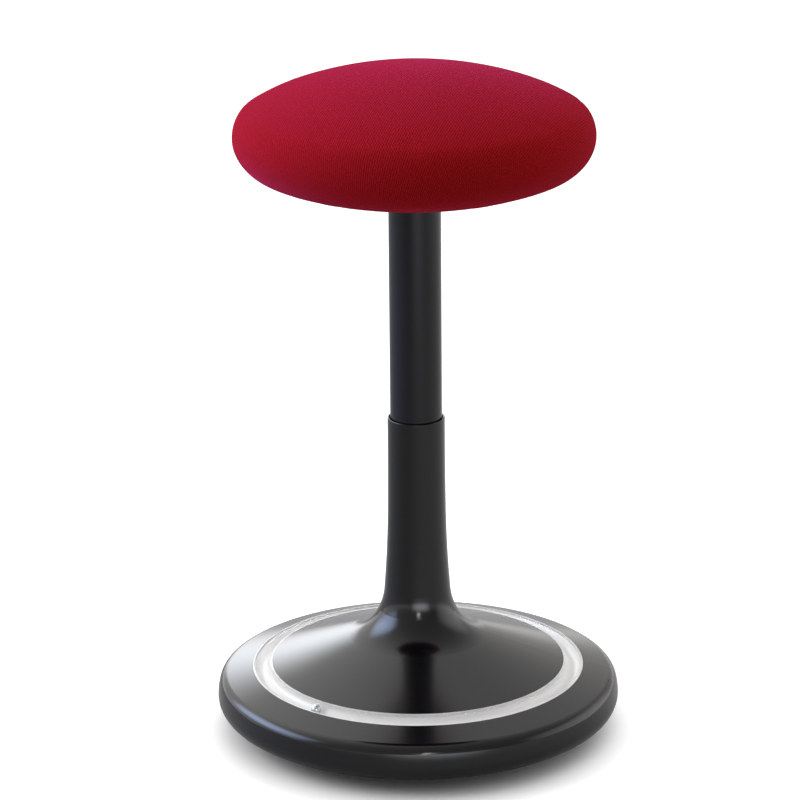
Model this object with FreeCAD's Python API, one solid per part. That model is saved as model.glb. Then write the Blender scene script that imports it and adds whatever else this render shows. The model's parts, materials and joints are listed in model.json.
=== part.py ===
import FreeCAD, Part
import math
import os

from FreeCAD import Vector

# Wobble stool: a round cushion on a telescoping column that stands in a heavy base with a rocking
# sole. Millimetres and degrees. Z points up from the floor, the column's axis is the Z axis, and
# the front is towards -Y.

# Rocking sole and the pan that carries everything
sole_curve_radius = 1050.0
flat_patch_radius = 56.0
sole_thickness = 4.0
pan_thickness = 2.5

# Outer rim
rim_radius = 196.4
rim_roll_radius = 17.3
rim_side_radius = 50.0
rim_side_turn = 15.0
rim_shoulder_radius = 11.4
rim_top_slope = 17.1
rim_wall = 3.0
rim_foot_width = 4.1
rim_flange_inner_radius = 161.0
rim_flange_turn = 30.0
rim_screw_count = 8
rim_screw_end_gap = 1.5

# Ball track let into the top of the base
ring_inner_radius = 142.9
ring_outer_radius = 161.8
ring_fall = 4.0
track_depth = 8.1
track_floor_wall = 1.7
trough_radius = 7.7
track_flange = 1.1
cover_seat_depth = 1.9
cover_crown = 2.95
cover_thickness = 1.2
cover_foot = 1.2
ball_diameter = 9.5
ball_bearing_angle = 230.0

# Trumpet: the dome and the neck in one moulding
trumpet_wall = 2.25
neck_radius = 27.65
neck_lip_height = 313.3
dome_slope = 19.53
flare_bends = [(4077.0, 1.02), (1107.0, 4.96), (62.6, 24.5), (50.7, 90.0 - dome_slope)]
post_radius = 6.5
post_circle_radius = 116.0
post_count = 6
post_screw_depth = 16.0
shelf_overlap = 1.0

# Telescoping column
tube_radius = 25.0
tube_wall = 2.0
guided_length = 97.3
seat_drop_clearance = 24.7
tube_floor_clearance = 16.0
bush_thickness = 0.95
bush_length = 24.0
bush_recess = 3.3
neck_land = 0.45
tube_edge_cut = 0.6

# Gas spring
cylinder_radius = 14.0
cylinder_wall = 1.5
cylinder_head = 20.0
cylinder_head_floor = 4.0
cylinder_edge_cut = 0.8
cylinder_top_gap = 4.0
cylinder_foot_gap = 24.0
rod_radius = 5.0
rod_neck_radius = 4.0
seal_length = 12.0
piston_length = 12.0
piston_rise = 2.0
piston_groove_depth = 1.5
valve_radius = 3.5
valve_travel_room = 3.0
valve_dome = 1.0

# Swivel bearing under the rod
hub_bore_radius = 15.0
hub_wall = 3.0
hub_flange_radius = 44.0
hub_flange_thickness = 3.0
hub_web_height = 14.0
hub_web_thickness = 3.0
hub_top_height = 29.0
hub_fillet = 4.0
hub_edge_cut = 1.0
buffer_thickness = 4.0
washer_thickness = 1.5
washer_radius = 13.0
bearing_ball_diameter = 3.5
bearing_circle_radius = 9.2
bearing_ball_count = 12
cage_thickness = 1.4
cage_edge_gap = 0.5
stack_bore_gap = 0.6
clip_thickness = 1.1
clip_radius = 7.0
clip_groove_depth = 0.8
clip_mouth_share = 0.8
clip_eye_radius = 1.2
rod_tail = 2.5

# Ballast
ballast_inner_radius = 57.0
ballast_outer_radius = 98.0
ballast_top_height = 32.0
ballast_edge_cut = 3.0
ballast_pocket_depth = 8.0

# Seat
seat_radius = 171.1
seat_mid_rise = 53.1
seat_bends_up = [(34.7, 36.5), (18.7, 58.3), (199.0, 69.7)]
seat_bends_down = [(33.5, -20.0), (38.0, -65.4)]
seat_under_radius = 197.0
fabric_thickness = 1.6
fabric_edge_radius = 112.0
board_radius = 130.0
board_thickness = 12.0
seat_hub_height = 19.0
seat_hub_radius = 38.0
spigot_length = 40.0
arm_reach = 80.0
arm_thickness = 5.0
arm_rib_depth = 9.0
arm_rib_width = 4.0
arm_root = 20.0
arm_root_width = 26.0
arm_tip_width = 16.0
arm_pad_radius = 10.0
boss_fillet = 3.0
spigot_edge_cut = 1.5
board_edge_radius = 2.5
under_cover_thickness = 2.5
under_cover_foot = 10.0
under_cover_knee = (64.0, -2.5)
under_cover_collar = (33.0, -9.0)
under_cover_post_circle = 98.0
under_cover_post_radius = 5.0
under_cover_screw_drop = 12.0
under_cover_collar_gap = 0.5

# Release lever
lever_azimuth = 28.0
lever_pivot_reach = 30.0
lever_pivot_rise = 8.0
lever_rod_radius = 3.5
lever_inner_reach = 6.0
lever_drop = 14.5
lever_first_bend = 46.0
lever_second_bend = 70.0
lever_bend_radius = 12.0
lever_rod_end = 126.0
paddle_start = 110.0
paddle_end = 152.0
paddle_width = 28.0
paddle_neck_radius = 5.0
paddle_thickness = 4.6
paddle_tilt = 6.0
paddle_edge_radius = 1.8
paddle_sleeve_radius = 5.6
paddle_sleeve_end = 4.0
pivot_pin_radius = 2.5
pivot_barrel_radius = 5.5
pivot_barrel_width = 8.4
lever_slot_width = 9.0
lever_slot_floor = 1.5
lever_slot_height = 13.0
cover_slot_start = 40.0
cover_slot_end = 88.0
cover_slot_side_gap = 2.0

# Fasteners
screw_head_ratio = 1.8
screw_head_height = 2.4
small_screw_radius = 2.0
medium_screw_radius = 2.5
seat_screw_radius = 3.0
screw_hole_gap = 0.3
screw_head_room = 1.0
pilot_depth = 9.0
tee_flange = 1.5
tee_flange_radius = 9.5
tee_barrel_radius = 4.3
tee_length = 10.5
tee_screw_end_gap = 2.5

# Fits
running_clearance = 0.05
soft_clearance = 0.3
panel_gap = 0.1
lift_gap = 0.3

# Sizes that follow from those above
bowl_centre_height = math.sqrt(sole_curve_radius ** 2 - flat_patch_radius ** 2)
pan_offset = sole_thickness
pan_top_offset = sole_thickness + pan_thickness
roll_slope_sine = (rim_radius - rim_roll_radius) / (sole_curve_radius - rim_roll_radius)
roll_slope = math.degrees(math.asin(roll_slope_sine))
roll_end_radius = sole_curve_radius * roll_slope_sine
sole_edge_radius = roll_end_radius - rim_foot_width
neck_bore = tube_radius + running_clearance + bush_thickness + running_clearance
column_stroke = neck_lip_height - tube_floor_clearance - guided_length
tube_bottom = tube_floor_clearance + column_stroke
tube_top = neck_lip_height + column_stroke + seat_drop_clearance
upper_bush_top = neck_lip_height - bush_recess
lower_bush_bottom = tube_bottom + bush_recess
cylinder_bottom = tube_bottom + cylinder_foot_gap
cylinder_top = tube_top - cylinder_top_gap
seat_mid_height = tube_top + seat_mid_rise
board_bottom = tube_top + seat_hub_height
board_top = board_bottom + board_thickness
lever_pivot_height = tube_top + lever_pivot_rise
buffer_bottom = hub_web_height + hub_web_thickness
lower_washer_bottom = buffer_bottom + buffer_thickness
bearing_bottom = lower_washer_bottom + washer_thickness
upper_washer_bottom = bearing_bottom + bearing_ball_diameter + running_clearance
rod_shoulder = upper_washer_bottom + washer_thickness
stack_bore = rod_neck_radius + stack_bore_gap
rod_washer_top = hub_web_height - panel_gap
clip_top = rod_washer_top - washer_thickness - panel_gap
clip_groove = rod_neck_radius - clip_groove_depth
piston_bottom = cylinder_bottom + seal_length + piston_rise


def sine(angle):
    return math.sin(math.radians(angle))


def cosine(angle):
    return math.cos(math.radians(angle))


def tangent(angle):
    return math.tan(math.radians(angle))


def save(node, shape):
    shape.exportStep("parts/" + node + ".step")


def disc(radius, bottom, top, x=0.0, y=0.0):
    """A plain round bar between two heights."""
    return Part.makeCylinder(radius, top - bottom, Vector(x, y, bottom))


def ring(inner, outer, bottom, top):
    """A plain washer between two heights."""
    return disc(outer, bottom, top).cut(disc(inner, bottom - 1, top + 1))


def turned(shape, angle):
    """A copy of the shape, turned about the column's axis."""
    copy = shape.copy()
    copy.rotate(Vector(0, 0, 0), Vector(0, 0, 1), angle)
    return copy


def around(shape, count, first=0.0):
    """Copies of the shape at even steps around the column's axis."""
    return [turned(shape, first + 360.0 * i / count) for i in range(count)]


def group(shapes):
    return Part.makeCompound(shapes)


class Outline:
    """A closed half section, drawn edge by edge in radius and height."""

    def __init__(self, radius, height):
        self.first = (radius, height)
        self.here = (radius, height)
        self.edges = []

    def line(self, radius, height):
        if math.dist(self.here, (radius, height)) > 1e-6:
            self.edges.append(Part.makeLine(self.spot(self.here), self.spot((radius, height))))
            self.here = (radius, height)
        return self

    def arc(self, middle, end):
        bow = Part.Arc(self.spot(self.here), self.spot(middle), self.spot(end))
        self.edges.append(bow.toShape())
        self.here = end
        return self

    def along(self, arcs):
        """Runs through a list of arcs, with a straight line to the first one."""
        for begin, middle, end in arcs:
            self.line(*begin)
            self.arc(middle, end)
        return self

    def spot(self, place):
        return Vector(place[0], 0, place[1])

    def spin(self):
        """The solid that the section sweeps round the column's axis."""
        self.line(*self.first)
        face = Part.Face(Part.Wire(self.edges))
        return face.revolve(Vector(0, 0, 0), Vector(0, 0, 1), 360)


def backwards(arcs):
    return [(end, middle, begin) for begin, middle, end in reversed(arcs)]


def tangent_arcs(start, angle, bends, inset=0.0):
    """Arcs that run into each other with no corner, along the skin of a round form.

    start is the first place on the skin, and angle is its outward normal above level. Each bend
    is a radius, negative where the skin is hollow, and the normal's angle at its far end. inset
    moves the run inwards, as for the inside of a wall.
    """
    arcs = []
    for radius, far in bends:
        centre_r = start[0] - radius * cosine(angle)
        centre_z = start[1] - radius * sine(angle)
        places = []
        for turn in (angle, (angle + far) / 2, far):
            reach = radius - inset
            places.append((centre_r + reach * cosine(turn), centre_z + reach * sine(turn)))
        arcs.append(tuple(places))
        start = (centre_r + radius * cosine(far), centre_z + radius * sine(far))
        angle = far
    return arcs


def arcs_below(arcs, height):
    """The part of a falling run of arcs that lies under a height."""
    kept = []
    for begin, middle, end in arcs:
        if end[1] >= height:
            continue
        if begin[1] > height:
            begin, middle = arc_cut(begin, middle, end, height)
        kept.append((begin, middle, end))
    return kept


def arc_cut(begin, middle, end, height):
    """Where a falling arc meets a height, and the middle of what is left of it."""
    bow = Part.Arc(*(Vector(place[0], 0, place[1]) for place in (begin, middle, end)))
    low, high = bow.FirstParameter, bow.LastParameter
    for _ in range(60):
        half = (low + high) / 2
        if bow.value(half).z > height:
            low = half
        else:
            high = half
    spots = [bow.value(high), bow.value((high + bow.LastParameter) / 2)]
    return [(spot.x, spot.z) for spot in spots]


def bowl_height(radius, depth):
    """Height of the sole's curve, or of a layer that lies depth above it."""
    return bowl_centre_height - math.sqrt((sole_curve_radius - depth) ** 2 - radius ** 2)


def bowl_arc(inner, outer, depth):
    middle = (inner + outer) / 2
    return [tuple((r, bowl_height(r, depth)) for r in (inner, middle, outer))]


def flat_edge(depth):
    """Radius where a layer's flat middle meets its curve."""
    return flat_patch_radius * (sole_curve_radius - depth) / sole_curve_radius


def below_pan_top(outer):
    """Everything under the pan's upper face, for trimming what stands on it."""
    edge = flat_edge(pan_top_offset)
    outline = Outline(0, -sole_thickness)
    outline.line(outer, -sole_thickness)
    outline.along(backwards(bowl_arc(edge, outer, pan_top_offset)))
    outline.line(0, bowl_height(edge, pan_top_offset))
    return outline.spin()


def screw(radius, bottom, top, reach, head_height=screw_head_height):
    """An upright screw with its head below, at a distance from the column's axis."""
    head_radius = screw_head_ratio * radius
    head = disc(head_radius, bottom - head_height, bottom, reach)
    head = head.makeChamfer(0.25 * head_height, [ring_edge(head, bottom - head_height)])
    socket = prism(6, radius, bottom - head_height, bottom - 0.35 * head_height, reach)
    return head.fuse(disc(radius, bottom, top, reach)).cut(socket).removeSplitter()


def ring_edge(shape, height):
    """The round edge of an upright bar at a height."""
    for edge in shape.Edges:
        low, high = edge.BoundBox.ZMin, edge.BoundBox.ZMax
        if abs(low - height) < 1e-6 and abs(high - height) < 1e-6:
            return edge


def prism(sides, radius, bottom, top, x=0.0):
    """An upright bar with flat sides."""
    corners = []
    for i in range(sides + 1):
        turn = 360.0 * i / sides
        corners.append(Vector(x + radius * cosine(turn), radius * sine(turn), bottom))
    return Part.Face(Part.makePolygon(corners)).extrude(Vector(0, 0, top - bottom))


# Rim, ring and dome heights, which follow from the sole upwards


def rim_skin(inset=0.0, first_turn=None):
    """The rim's skin from its foot, or from a turn of its roll, up to the top slope."""
    foot = sole_edge_radius + panel_gap
    if first_turn is None:
        start = (foot, bowl_height(foot, 0))
        angle = math.degrees(math.asin(foot / sole_curve_radius)) - 90
        bends = [(sole_curve_radius, roll_slope - 90), (rim_roll_radius, 0.0)]
    else:
        centre_r = rim_radius - rim_roll_radius
        centre_z = bowl_centre_height - (sole_curve_radius - rim_roll_radius) * cosine(roll_slope)
        angle = first_turn
        start = (centre_r + rim_roll_radius * cosine(angle), centre_z + rim_roll_radius * sine(angle))
        bends = [(rim_roll_radius, 0.0)]
    bends.append((rim_side_radius, rim_side_turn))
    bends.append((rim_shoulder_radius, 90 - rim_top_slope))
    return tangent_arcs(start, angle, bends, inset)


def rim_top_height(radius, inset=0.0):
    """Height of the rim's sloping top."""
    end_r, end_z = rim_skin(inset)[-1][2]
    return end_z + (end_r - radius) * tangent(rim_top_slope)


ring_outer_height = rim_top_height(ring_outer_radius)
ring_inner_height = ring_outer_height + ring_fall
track_radius = (ring_inner_radius + ring_outer_radius) / 2
track_floor = (ring_inner_height + ring_outer_height) / 2 - track_depth
groove_floor = track_floor - track_floor_wall


def ring_plane(radius):
    """Height of the sloping plane through both edges of the ring."""
    share = (radius - ring_inner_radius) / (ring_outer_radius - ring_inner_radius)
    return ring_inner_height - ring_fall * share


def flare_skin(inset=0.0):
    """The neck's flare, from the straight part of the neck down to the dome."""
    bends = [(-radius, angle) for radius, angle in flare_bends]
    foot_r, foot_z = tangent_arcs((neck_radius, 0), 0, bends)[-1][2]
    dome_rise = (ring_inner_radius - panel_gap - foot_r) * tangent(dome_slope)
    top = ring_inner_height + dome_rise - foot_z
    return tangent_arcs((neck_radius, top), 0, bends, inset)


def dome_height(radius, inset=0.0):
    """Height of the dome's cone outside the flare."""
    foot_r, foot_z = flare_skin(inset)[-1][2]
    return foot_z - (radius - foot_r) * tangent(dome_slope)


# Base


def rocker_sole():
    edge = sole_edge_radius
    top = flat_edge(sole_thickness)
    outline = Outline(0, 0)
    outline.along(bowl_arc(flat_patch_radius, edge, 0))
    outline.along(backwards(bowl_arc(top, edge, sole_thickness)))
    outline.line(0, bowl_height(top, sole_thickness))
    sole = outline.spin()
    for radius, reach, count, first in base_screw_circles():
        hole = disc(screw_head_ratio * radius + screw_head_room, -1, hub_top_height, reach)
        sole = sole.cut(group(around(hole, count, first)))
    return sole


def base_screw_circles():
    """Radius, distance from the axis, count and first angle of the screws under the pan."""
    rim_screw_reach = (rim_flange_inner_radius + sole_edge_radius) / 2
    return [
        (medium_screw_radius, post_circle_radius, post_count, 30.0),
        (small_screw_radius, rim_screw_reach, rim_screw_count, 11.0),
    ]


def base_pan():
    inner = flat_edge(pan_offset)
    top = flat_edge(pan_top_offset)
    bore = hub_bore_radius + hub_wall + panel_gap
    outline = Outline(bore, bowl_height(inner, pan_offset))
    outline.along(bowl_arc(inner, sole_edge_radius, pan_offset))
    outline.along(backwards(bowl_arc(top, sole_edge_radius, pan_top_offset)))
    outline.line(bore, bowl_height(top, pan_top_offset))
    pan = outline.spin()
    for radius, reach, count, first in base_screw_circles():
        hole = disc(radius + screw_hole_gap, 0, hub_top_height, reach)
        pan = pan.cut(group(around(hole, count, first)))
    for radius, reach, first in ((medium_screw_radius, hub_screw_reach(), 0.0),
                                 (seat_screw_radius, ballast_screw_reach(), 45.0)):
        hole = disc(radius + running_clearance, 0, hub_top_height, reach)
        pan = pan.cut(group(around(hole, 4, first)))
    return pan


def base_screws(index, top):
    """One ring of screws that come up through the pan, with heads under it."""
    radius, reach, count, first = base_screw_circles()[index]
    head_radius = screw_head_ratio * radius
    seat = bowl_height(reach - head_radius, pan_offset) - 0.05
    return group(around(screw(radius, seat, top, reach), count, first))


def rim_shell():
    foot = sole_edge_radius + panel_gap
    inner = ring_outer_radius + panel_gap
    hollow = rim_skin(rim_wall, -rim_flange_turn)
    outline = Outline(foot, bowl_height(foot, 0))
    outline.line(foot, bowl_height(foot, pan_top_offset))
    outline.along(backwards(bowl_arc(rim_flange_inner_radius, foot, pan_top_offset)))
    outline.line(rim_flange_inner_radius, hollow[0][0][1])
    outline.along(hollow)
    outline.line(inner + rim_wall, rim_top_height(inner + rim_wall, rim_wall))
    outline.line(inner + rim_wall, groove_floor)
    outline.line(inner, groove_floor)
    outline.line(inner, rim_top_height(inner))
    outline.along(backwards(rim_skin()))
    shell = outline.spin()
    radius, reach, count, first = base_screw_circles()[1]
    hole = disc(radius + running_clearance, 0, hollow[0][0][1] - 1, reach)
    return shell.cut(group(around(hole, count, first)))


def trumpet_shell():
    outer = ring_inner_radius - panel_gap
    shelf = ring_outer_radius + rim_wall + shelf_overlap
    lip = (neck_radius - neck_bore) / 2
    upper_shoulder = upper_bush_top - bush_length
    lower_shoulder = lower_bush_bottom + bush_length
    land = neck_bore - neck_land
    outline = Outline(shelf, groove_floor - trumpet_wall)
    outline.line(shelf, groove_floor)
    outline.line(outer, groove_floor)
    outline.line(outer, ring_inner_height)
    outline.along(backwards(arcs_below(flare_skin(), neck_lip_height - lip)))
    outline.line(neck_radius, neck_lip_height - lip)
    outline.arc((neck_radius - lip, neck_lip_height), (neck_bore, neck_lip_height - lip))
    outline.line(neck_bore, upper_shoulder)
    outline.line(land, upper_shoulder)
    outline.line(land, lower_shoulder)
    outline.line(neck_bore, lower_shoulder)
    outline.line(neck_bore, lower_bush_bottom)
    outline.along(arcs_below(flare_skin(trumpet_wall)[1:], lower_bush_bottom))
    outline.line(outer - trumpet_wall, dome_height(outer - trumpet_wall, trumpet_wall))
    outline.line(outer - trumpet_wall, groove_floor - trumpet_wall)
    shell = outline.spin()
    reach = post_circle_radius
    post = disc(post_radius, 0, ring_inner_height + reach, reach)
    post = post.common(below_dome(reach - 2 * post_radius, reach + 2 * post_radius))
    post = post.cut(below_pan_top(reach + 2 * post_radius))
    pilot = disc(medium_screw_radius + running_clearance, 0, post_screw_top() + 1, reach)
    post = post.cut(pilot)
    return shell.fuse(around(post, post_count, base_screw_circles()[0][3]))


def below_dome(inner, outer):
    """Everything under the middle of the dome's wall, between two radii."""
    middle = trumpet_wall / 2
    outline = Outline(inner, -sole_thickness)
    outline.line(outer, -sole_thickness)
    outline.line(outer, dome_height(outer, middle))
    outline.line(inner, dome_height(inner, middle))
    return outline.spin()


def post_screw_top():
    return bowl_height(post_circle_radius, pan_top_offset) + post_screw_depth


def rim_screw_top():
    return rim_skin(rim_wall, -rim_flange_turn)[0][0][1] - rim_screw_end_gap


def track_channel():
    ledge_in = ring_plane(ring_inner_radius + track_flange) - cover_seat_depth
    ledge_out = ring_plane(ring_outer_radius - track_flange) - cover_seat_depth
    centre = track_floor + trough_radius
    in_r = track_radius - math.sqrt(trough_radius ** 2 - (ledge_in - centre) ** 2)
    out_r = track_radius + math.sqrt(trough_radius ** 2 - (ledge_out - centre) ** 2)
    outline = Outline(ring_inner_radius, groove_floor)
    outline.line(ring_outer_radius, groove_floor)
    outline.line(ring_outer_radius, ring_outer_height)
    outline.line(ring_outer_radius - track_flange, ring_plane(ring_outer_radius - track_flange))
    outline.line(ring_outer_radius - track_flange, ledge_out)
    outline.line(out_r, ledge_out)
    outline.arc((track_radius, track_floor), (in_r, ledge_in))
    outline.line(ring_inner_radius + track_flange, ledge_in)
    outline.line(ring_inner_radius + track_flange, ring_plane(ring_inner_radius + track_flange))
    outline.line(ring_inner_radius, ring_inner_height)
    return outline.spin()


def track_cover():
    inner = ring_inner_radius + track_flange + panel_gap
    outer = ring_outer_radius - track_flange - panel_gap
    ledge_in = ring_plane(ring_inner_radius + track_flange) - cover_seat_depth
    ledge_out = ring_plane(ring_outer_radius - track_flange) - cover_seat_depth
    crown = ring_plane(track_radius) + cover_crown
    outline = Outline(inner, ledge_in)
    outline.line(inner + cover_foot, ledge_in)
    outline.line(inner + cover_foot, ring_plane(inner) - cover_thickness / 2)
    under_right = (outer - cover_foot, ring_plane(outer) - cover_thickness / 2)
    outline.arc((track_radius, crown - cover_thickness), under_right)
    outline.line(outer - cover_foot, ledge_out)
    outline.line(outer, ledge_out)
    outline.line(outer, ring_plane(outer))
    outline.arc((track_radius, crown), (inner, ring_plane(inner)))
    return outline.spin()


def track_ball():
    radius = ball_diameter / 2
    height = track_floor + running_clearance + radius
    return turned(Part.makeSphere(radius, Vector(track_radius, 0, height)), ball_bearing_angle)


def guide_bush(bottom):
    inner = tube_radius + running_clearance
    return ring(inner, inner + bush_thickness, bottom, bottom + bush_length)


def ballast_ring():
    outline = Outline(ballast_inner_radius, ballast_top_height)
    outline.along(bowl_arc(ballast_inner_radius, ballast_outer_radius, pan_top_offset + panel_gap))
    outline.line(ballast_outer_radius, ballast_top_height - ballast_edge_cut)
    outline.line(ballast_outer_radius - ballast_edge_cut, ballast_top_height)
    ballast = outline.spin()
    reach = ballast_screw_reach()
    pocket_radius = screw_head_ratio * seat_screw_radius + screw_head_room
    pocket = disc(pocket_radius, ballast_top_height - ballast_pocket_depth,
                  ballast_top_height + 1, reach)
    hole = disc(seat_screw_radius + screw_hole_gap, 0, ballast_top_height, reach)
    return ballast.cut(group(around(pocket.fuse(hole), 4, 45.0)))


def ballast_screw_reach():
    return (ballast_inner_radius + ballast_outer_radius) / 2


def ballast_screws():
    reach = ballast_screw_reach()
    height = ballast_top_height - ballast_pocket_depth
    bottom = bowl_height(reach + seat_screw_radius, pan_offset) + panel_gap
    bolt = screw(seat_screw_radius, -height, -bottom, reach)
    bolt.rotate(Vector(0, 0, 0), Vector(1, 0, 0), 180)
    return group(around(bolt, 4, 45.0))


# Swivel bearing


def bearing_hub():
    wall = hub_bore_radius + hub_wall
    seat = bowl_height(flat_edge(pan_top_offset), pan_top_offset)
    outline = Outline(wall, bowl_height(flat_edge(pan_offset), pan_offset) + panel_gap)
    outline.line(wall, seat)
    outline.line(hub_flange_radius, seat)
    outline.line(hub_flange_radius, seat + hub_flange_thickness - hub_edge_cut)
    outline.line(hub_flange_radius - hub_edge_cut, seat + hub_flange_thickness)
    outline.line(wall + hub_fillet, seat + hub_flange_thickness)
    outline.line(wall, seat + hub_flange_thickness + hub_fillet)
    outline.line(wall, hub_top_height)
    outline.line(hub_bore_radius, hub_top_height)
    outline.line(hub_bore_radius, hub_web_height + hub_web_thickness)
    outline.line(rod_neck_radius + running_clearance, hub_web_height + hub_web_thickness)
    outline.line(rod_neck_radius + running_clearance, hub_web_height)
    outline.line(hub_bore_radius, hub_web_height)
    outline.line(hub_bore_radius, bowl_height(flat_edge(pan_offset), pan_offset) + panel_gap)
    hub = outline.spin()
    hole = disc(medium_screw_radius + screw_hole_gap, 0, hub_top_height, hub_screw_reach())
    return hub.cut(group(around(hole, 4)))


def hub_screw_reach():
    return (hub_bore_radius + hub_wall + hub_fillet + hub_flange_radius) / 2


def bearing_hub_screws():
    top = bowl_height(flat_edge(pan_top_offset), pan_top_offset) + hub_flange_thickness
    bottom = bowl_height(flat_edge(pan_offset), pan_offset) + panel_gap
    bolt = screw(medium_screw_radius, -top, -bottom, hub_screw_reach())
    bolt.rotate(Vector(0, 0, 0), Vector(1, 0, 0), 180)
    return group(around(bolt, 4))


def bearing_cage():
    middle = bearing_bottom + bearing_ball_diameter / 2
    low = middle - cage_thickness / 2
    cage = ring(stack_bore + cage_edge_gap, washer_radius - cage_edge_gap, low, low + cage_thickness)
    pocket_radius = bearing_ball_diameter / 2 + panel_gap
    pocket = disc(pocket_radius, low - 1, low + cage_thickness + 1, bearing_circle_radius)
    return cage.cut(group(around(pocket, bearing_ball_count)))


def bearing_balls():
    radius = bearing_ball_diameter / 2
    ball = Part.makeSphere(radius, Vector(bearing_circle_radius, 0, bearing_bottom + radius))
    return group(around(ball, bearing_ball_count))


def piston_rod():
    end = clip_top - clip_thickness - rod_tail
    top = piston_bottom + piston_length
    groove_top = clip_top + panel_gap / 2
    groove_low = clip_top - clip_thickness - panel_gap / 2
    outline = Outline(0, end)
    outline.line(rod_neck_radius - tube_edge_cut, end)
    outline.line(rod_neck_radius, end + tube_edge_cut)
    outline.line(rod_neck_radius, groove_low)
    outline.line(clip_groove, groove_low)
    outline.line(clip_groove, groove_top)
    outline.line(rod_neck_radius, groove_top)
    outline.line(rod_neck_radius, rod_shoulder)
    outline.line(rod_radius, rod_shoulder)
    outline.line(rod_radius, piston_bottom)
    outline.line(rod_neck_radius, piston_bottom)
    outline.line(rod_neck_radius, top)
    outline.line(0, top)
    return outline.spin()


def piston():
    inner = rod_neck_radius + running_clearance / 2
    outer = cylinder_radius - cylinder_wall - running_clearance
    groove = outer - piston_groove_depth
    top = piston_bottom + piston_length
    outline = Outline(inner, piston_bottom)
    outline.line(outer, piston_bottom)
    outline.line(outer, piston_bottom + piston_length / 3)
    outline.line(groove, piston_bottom + 0.42 * piston_length)
    outline.line(groove, top - 0.42 * piston_length)
    outline.line(outer, top - piston_length / 3)
    outline.line(outer, top)
    outline.line(inner, top)
    return outline.spin()


def rod_clip():
    """A round clip with a mouth at one side, pushed into the rod's groove."""
    low = clip_top - clip_thickness
    inner = clip_groove + panel_gap / 2
    clip = ring(inner, clip_radius, low, clip_top)
    mouth = inner * clip_mouth_share
    opening = Part.makeBox(clip_radius + 1, 2 * mouth, clip_thickness + 2, Vector(0, -mouth, low - 1))
    clip = clip.cut(opening)
    relief = disc(clip_eye_radius, low - 1, clip_top + 1, (inner + clip_radius) / 2)
    return clip.cut(group([turned(relief, 110), turned(relief, 250)]))


# Column


def column_tube():
    inner = tube_radius - tube_wall
    outline = Outline(inner, tube_bottom)
    outline.line(tube_radius - tube_edge_cut, tube_bottom)
    outline.line(tube_radius, tube_bottom + tube_edge_cut)
    outline.line(tube_radius, tube_top)
    outline.line(inner, tube_top)
    return outline.spin()


def cylinder_bush():
    """The ring that keeps the gas cylinder in the middle of the tube."""
    inner = cylinder_radius + running_clearance
    outer = tube_radius - tube_wall - running_clearance
    top = cylinder_bottom + seal_length
    bush = ring(inner, outer, cylinder_bottom, top)
    hole = disc((outer - inner) / 4, cylinder_bottom - 1, top + 1, (inner + outer) / 2)
    return bush.cut(group(around(hole, 6)))


def gas_cylinder():
    bore = cylinder_radius - cylinder_wall
    outline = Outline(bore, cylinder_bottom)
    pocket = cylinder_top - cylinder_head + cylinder_head_floor
    outline.line(cylinder_radius - cylinder_edge_cut, cylinder_bottom)
    outline.line(cylinder_radius, cylinder_bottom + cylinder_edge_cut)
    outline.line(cylinder_radius, cylinder_top - cylinder_edge_cut)
    outline.line(cylinder_radius - cylinder_edge_cut, cylinder_top)
    outline.line(valve_radius + running_clearance, cylinder_top)
    outline.line(valve_radius + running_clearance, pocket)
    outline.line(0, pocket)
    outline.line(0, cylinder_top - cylinder_head)
    outline.line(bore, cylinder_top - cylinder_head)
    return outline.spin()


def rod_seal():
    outer = cylinder_radius - cylinder_wall - running_clearance
    return ring(rod_radius + running_clearance, outer, cylinder_bottom, cylinder_bottom + seal_length)


def valve_pin():
    """The pin that opens the gas valve, with a domed head for the lever to press."""
    top = lever_pivot_height - lever_rod_radius - lift_gap
    low = cylinder_top - cylinder_head + cylinder_head_floor + valve_travel_room
    outline = Outline(0, low)
    outline.line(valve_radius, low)
    outline.line(valve_radius, top - valve_dome)
    dome_radius = (valve_radius ** 2 + valve_dome ** 2) / (2 * valve_dome)
    half_turn = math.asin(valve_radius / dome_radius) / 2
    middle = (dome_radius * math.sin(half_turn), top - dome_radius * (1 - math.cos(half_turn)))
    outline.arc(middle, (0, top))
    return outline.spin()


# Seat


def seat_under_angle(radius, inset=0.0):
    """Normal's angle where the cushion's underside has a radius."""
    end_r = tangent_arcs((seat_radius, 0), 0, seat_bends_down)[-1][2][0]
    centre = end_r - seat_under_radius * cosine(seat_bends_down[-1][1])
    return -math.degrees(math.acos((radius - centre) / (seat_under_radius - inset)))


def seat_lower_skin(radius, inset=0.0):
    """The cushion's skin from its widest line down and in to a radius."""
    bends = seat_bends_down + [(seat_under_radius, seat_under_angle(radius, inset))]
    return tangent_arcs((seat_radius, seat_mid_height), 0, bends, inset)


def seat_upper_skin(inset=0.0):
    """The cushion's skin from its widest line up and over to the middle."""
    start = (seat_radius, seat_mid_height)
    edge = tangent_arcs(start, 0, seat_bends_up)[-1][2][0]
    crown_radius = edge / cosine(seat_bends_up[-1][1])
    return tangent_arcs(start, 0, seat_bends_up + [(crown_radius, 90.0)], inset)


def seat_cover():
    """The fabric, pulled over the foam and tucked under the board."""
    outside = seat_lower_skin(fabric_edge_radius)
    inside = seat_lower_skin(fabric_edge_radius, fabric_thickness)
    outline = Outline(*outside[-1][2])
    outline.along(backwards(outside))
    outline.along(seat_upper_skin())
    outline.along(backwards(seat_upper_skin(fabric_thickness)))
    outline.along(inside)
    return outline.spin()


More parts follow.
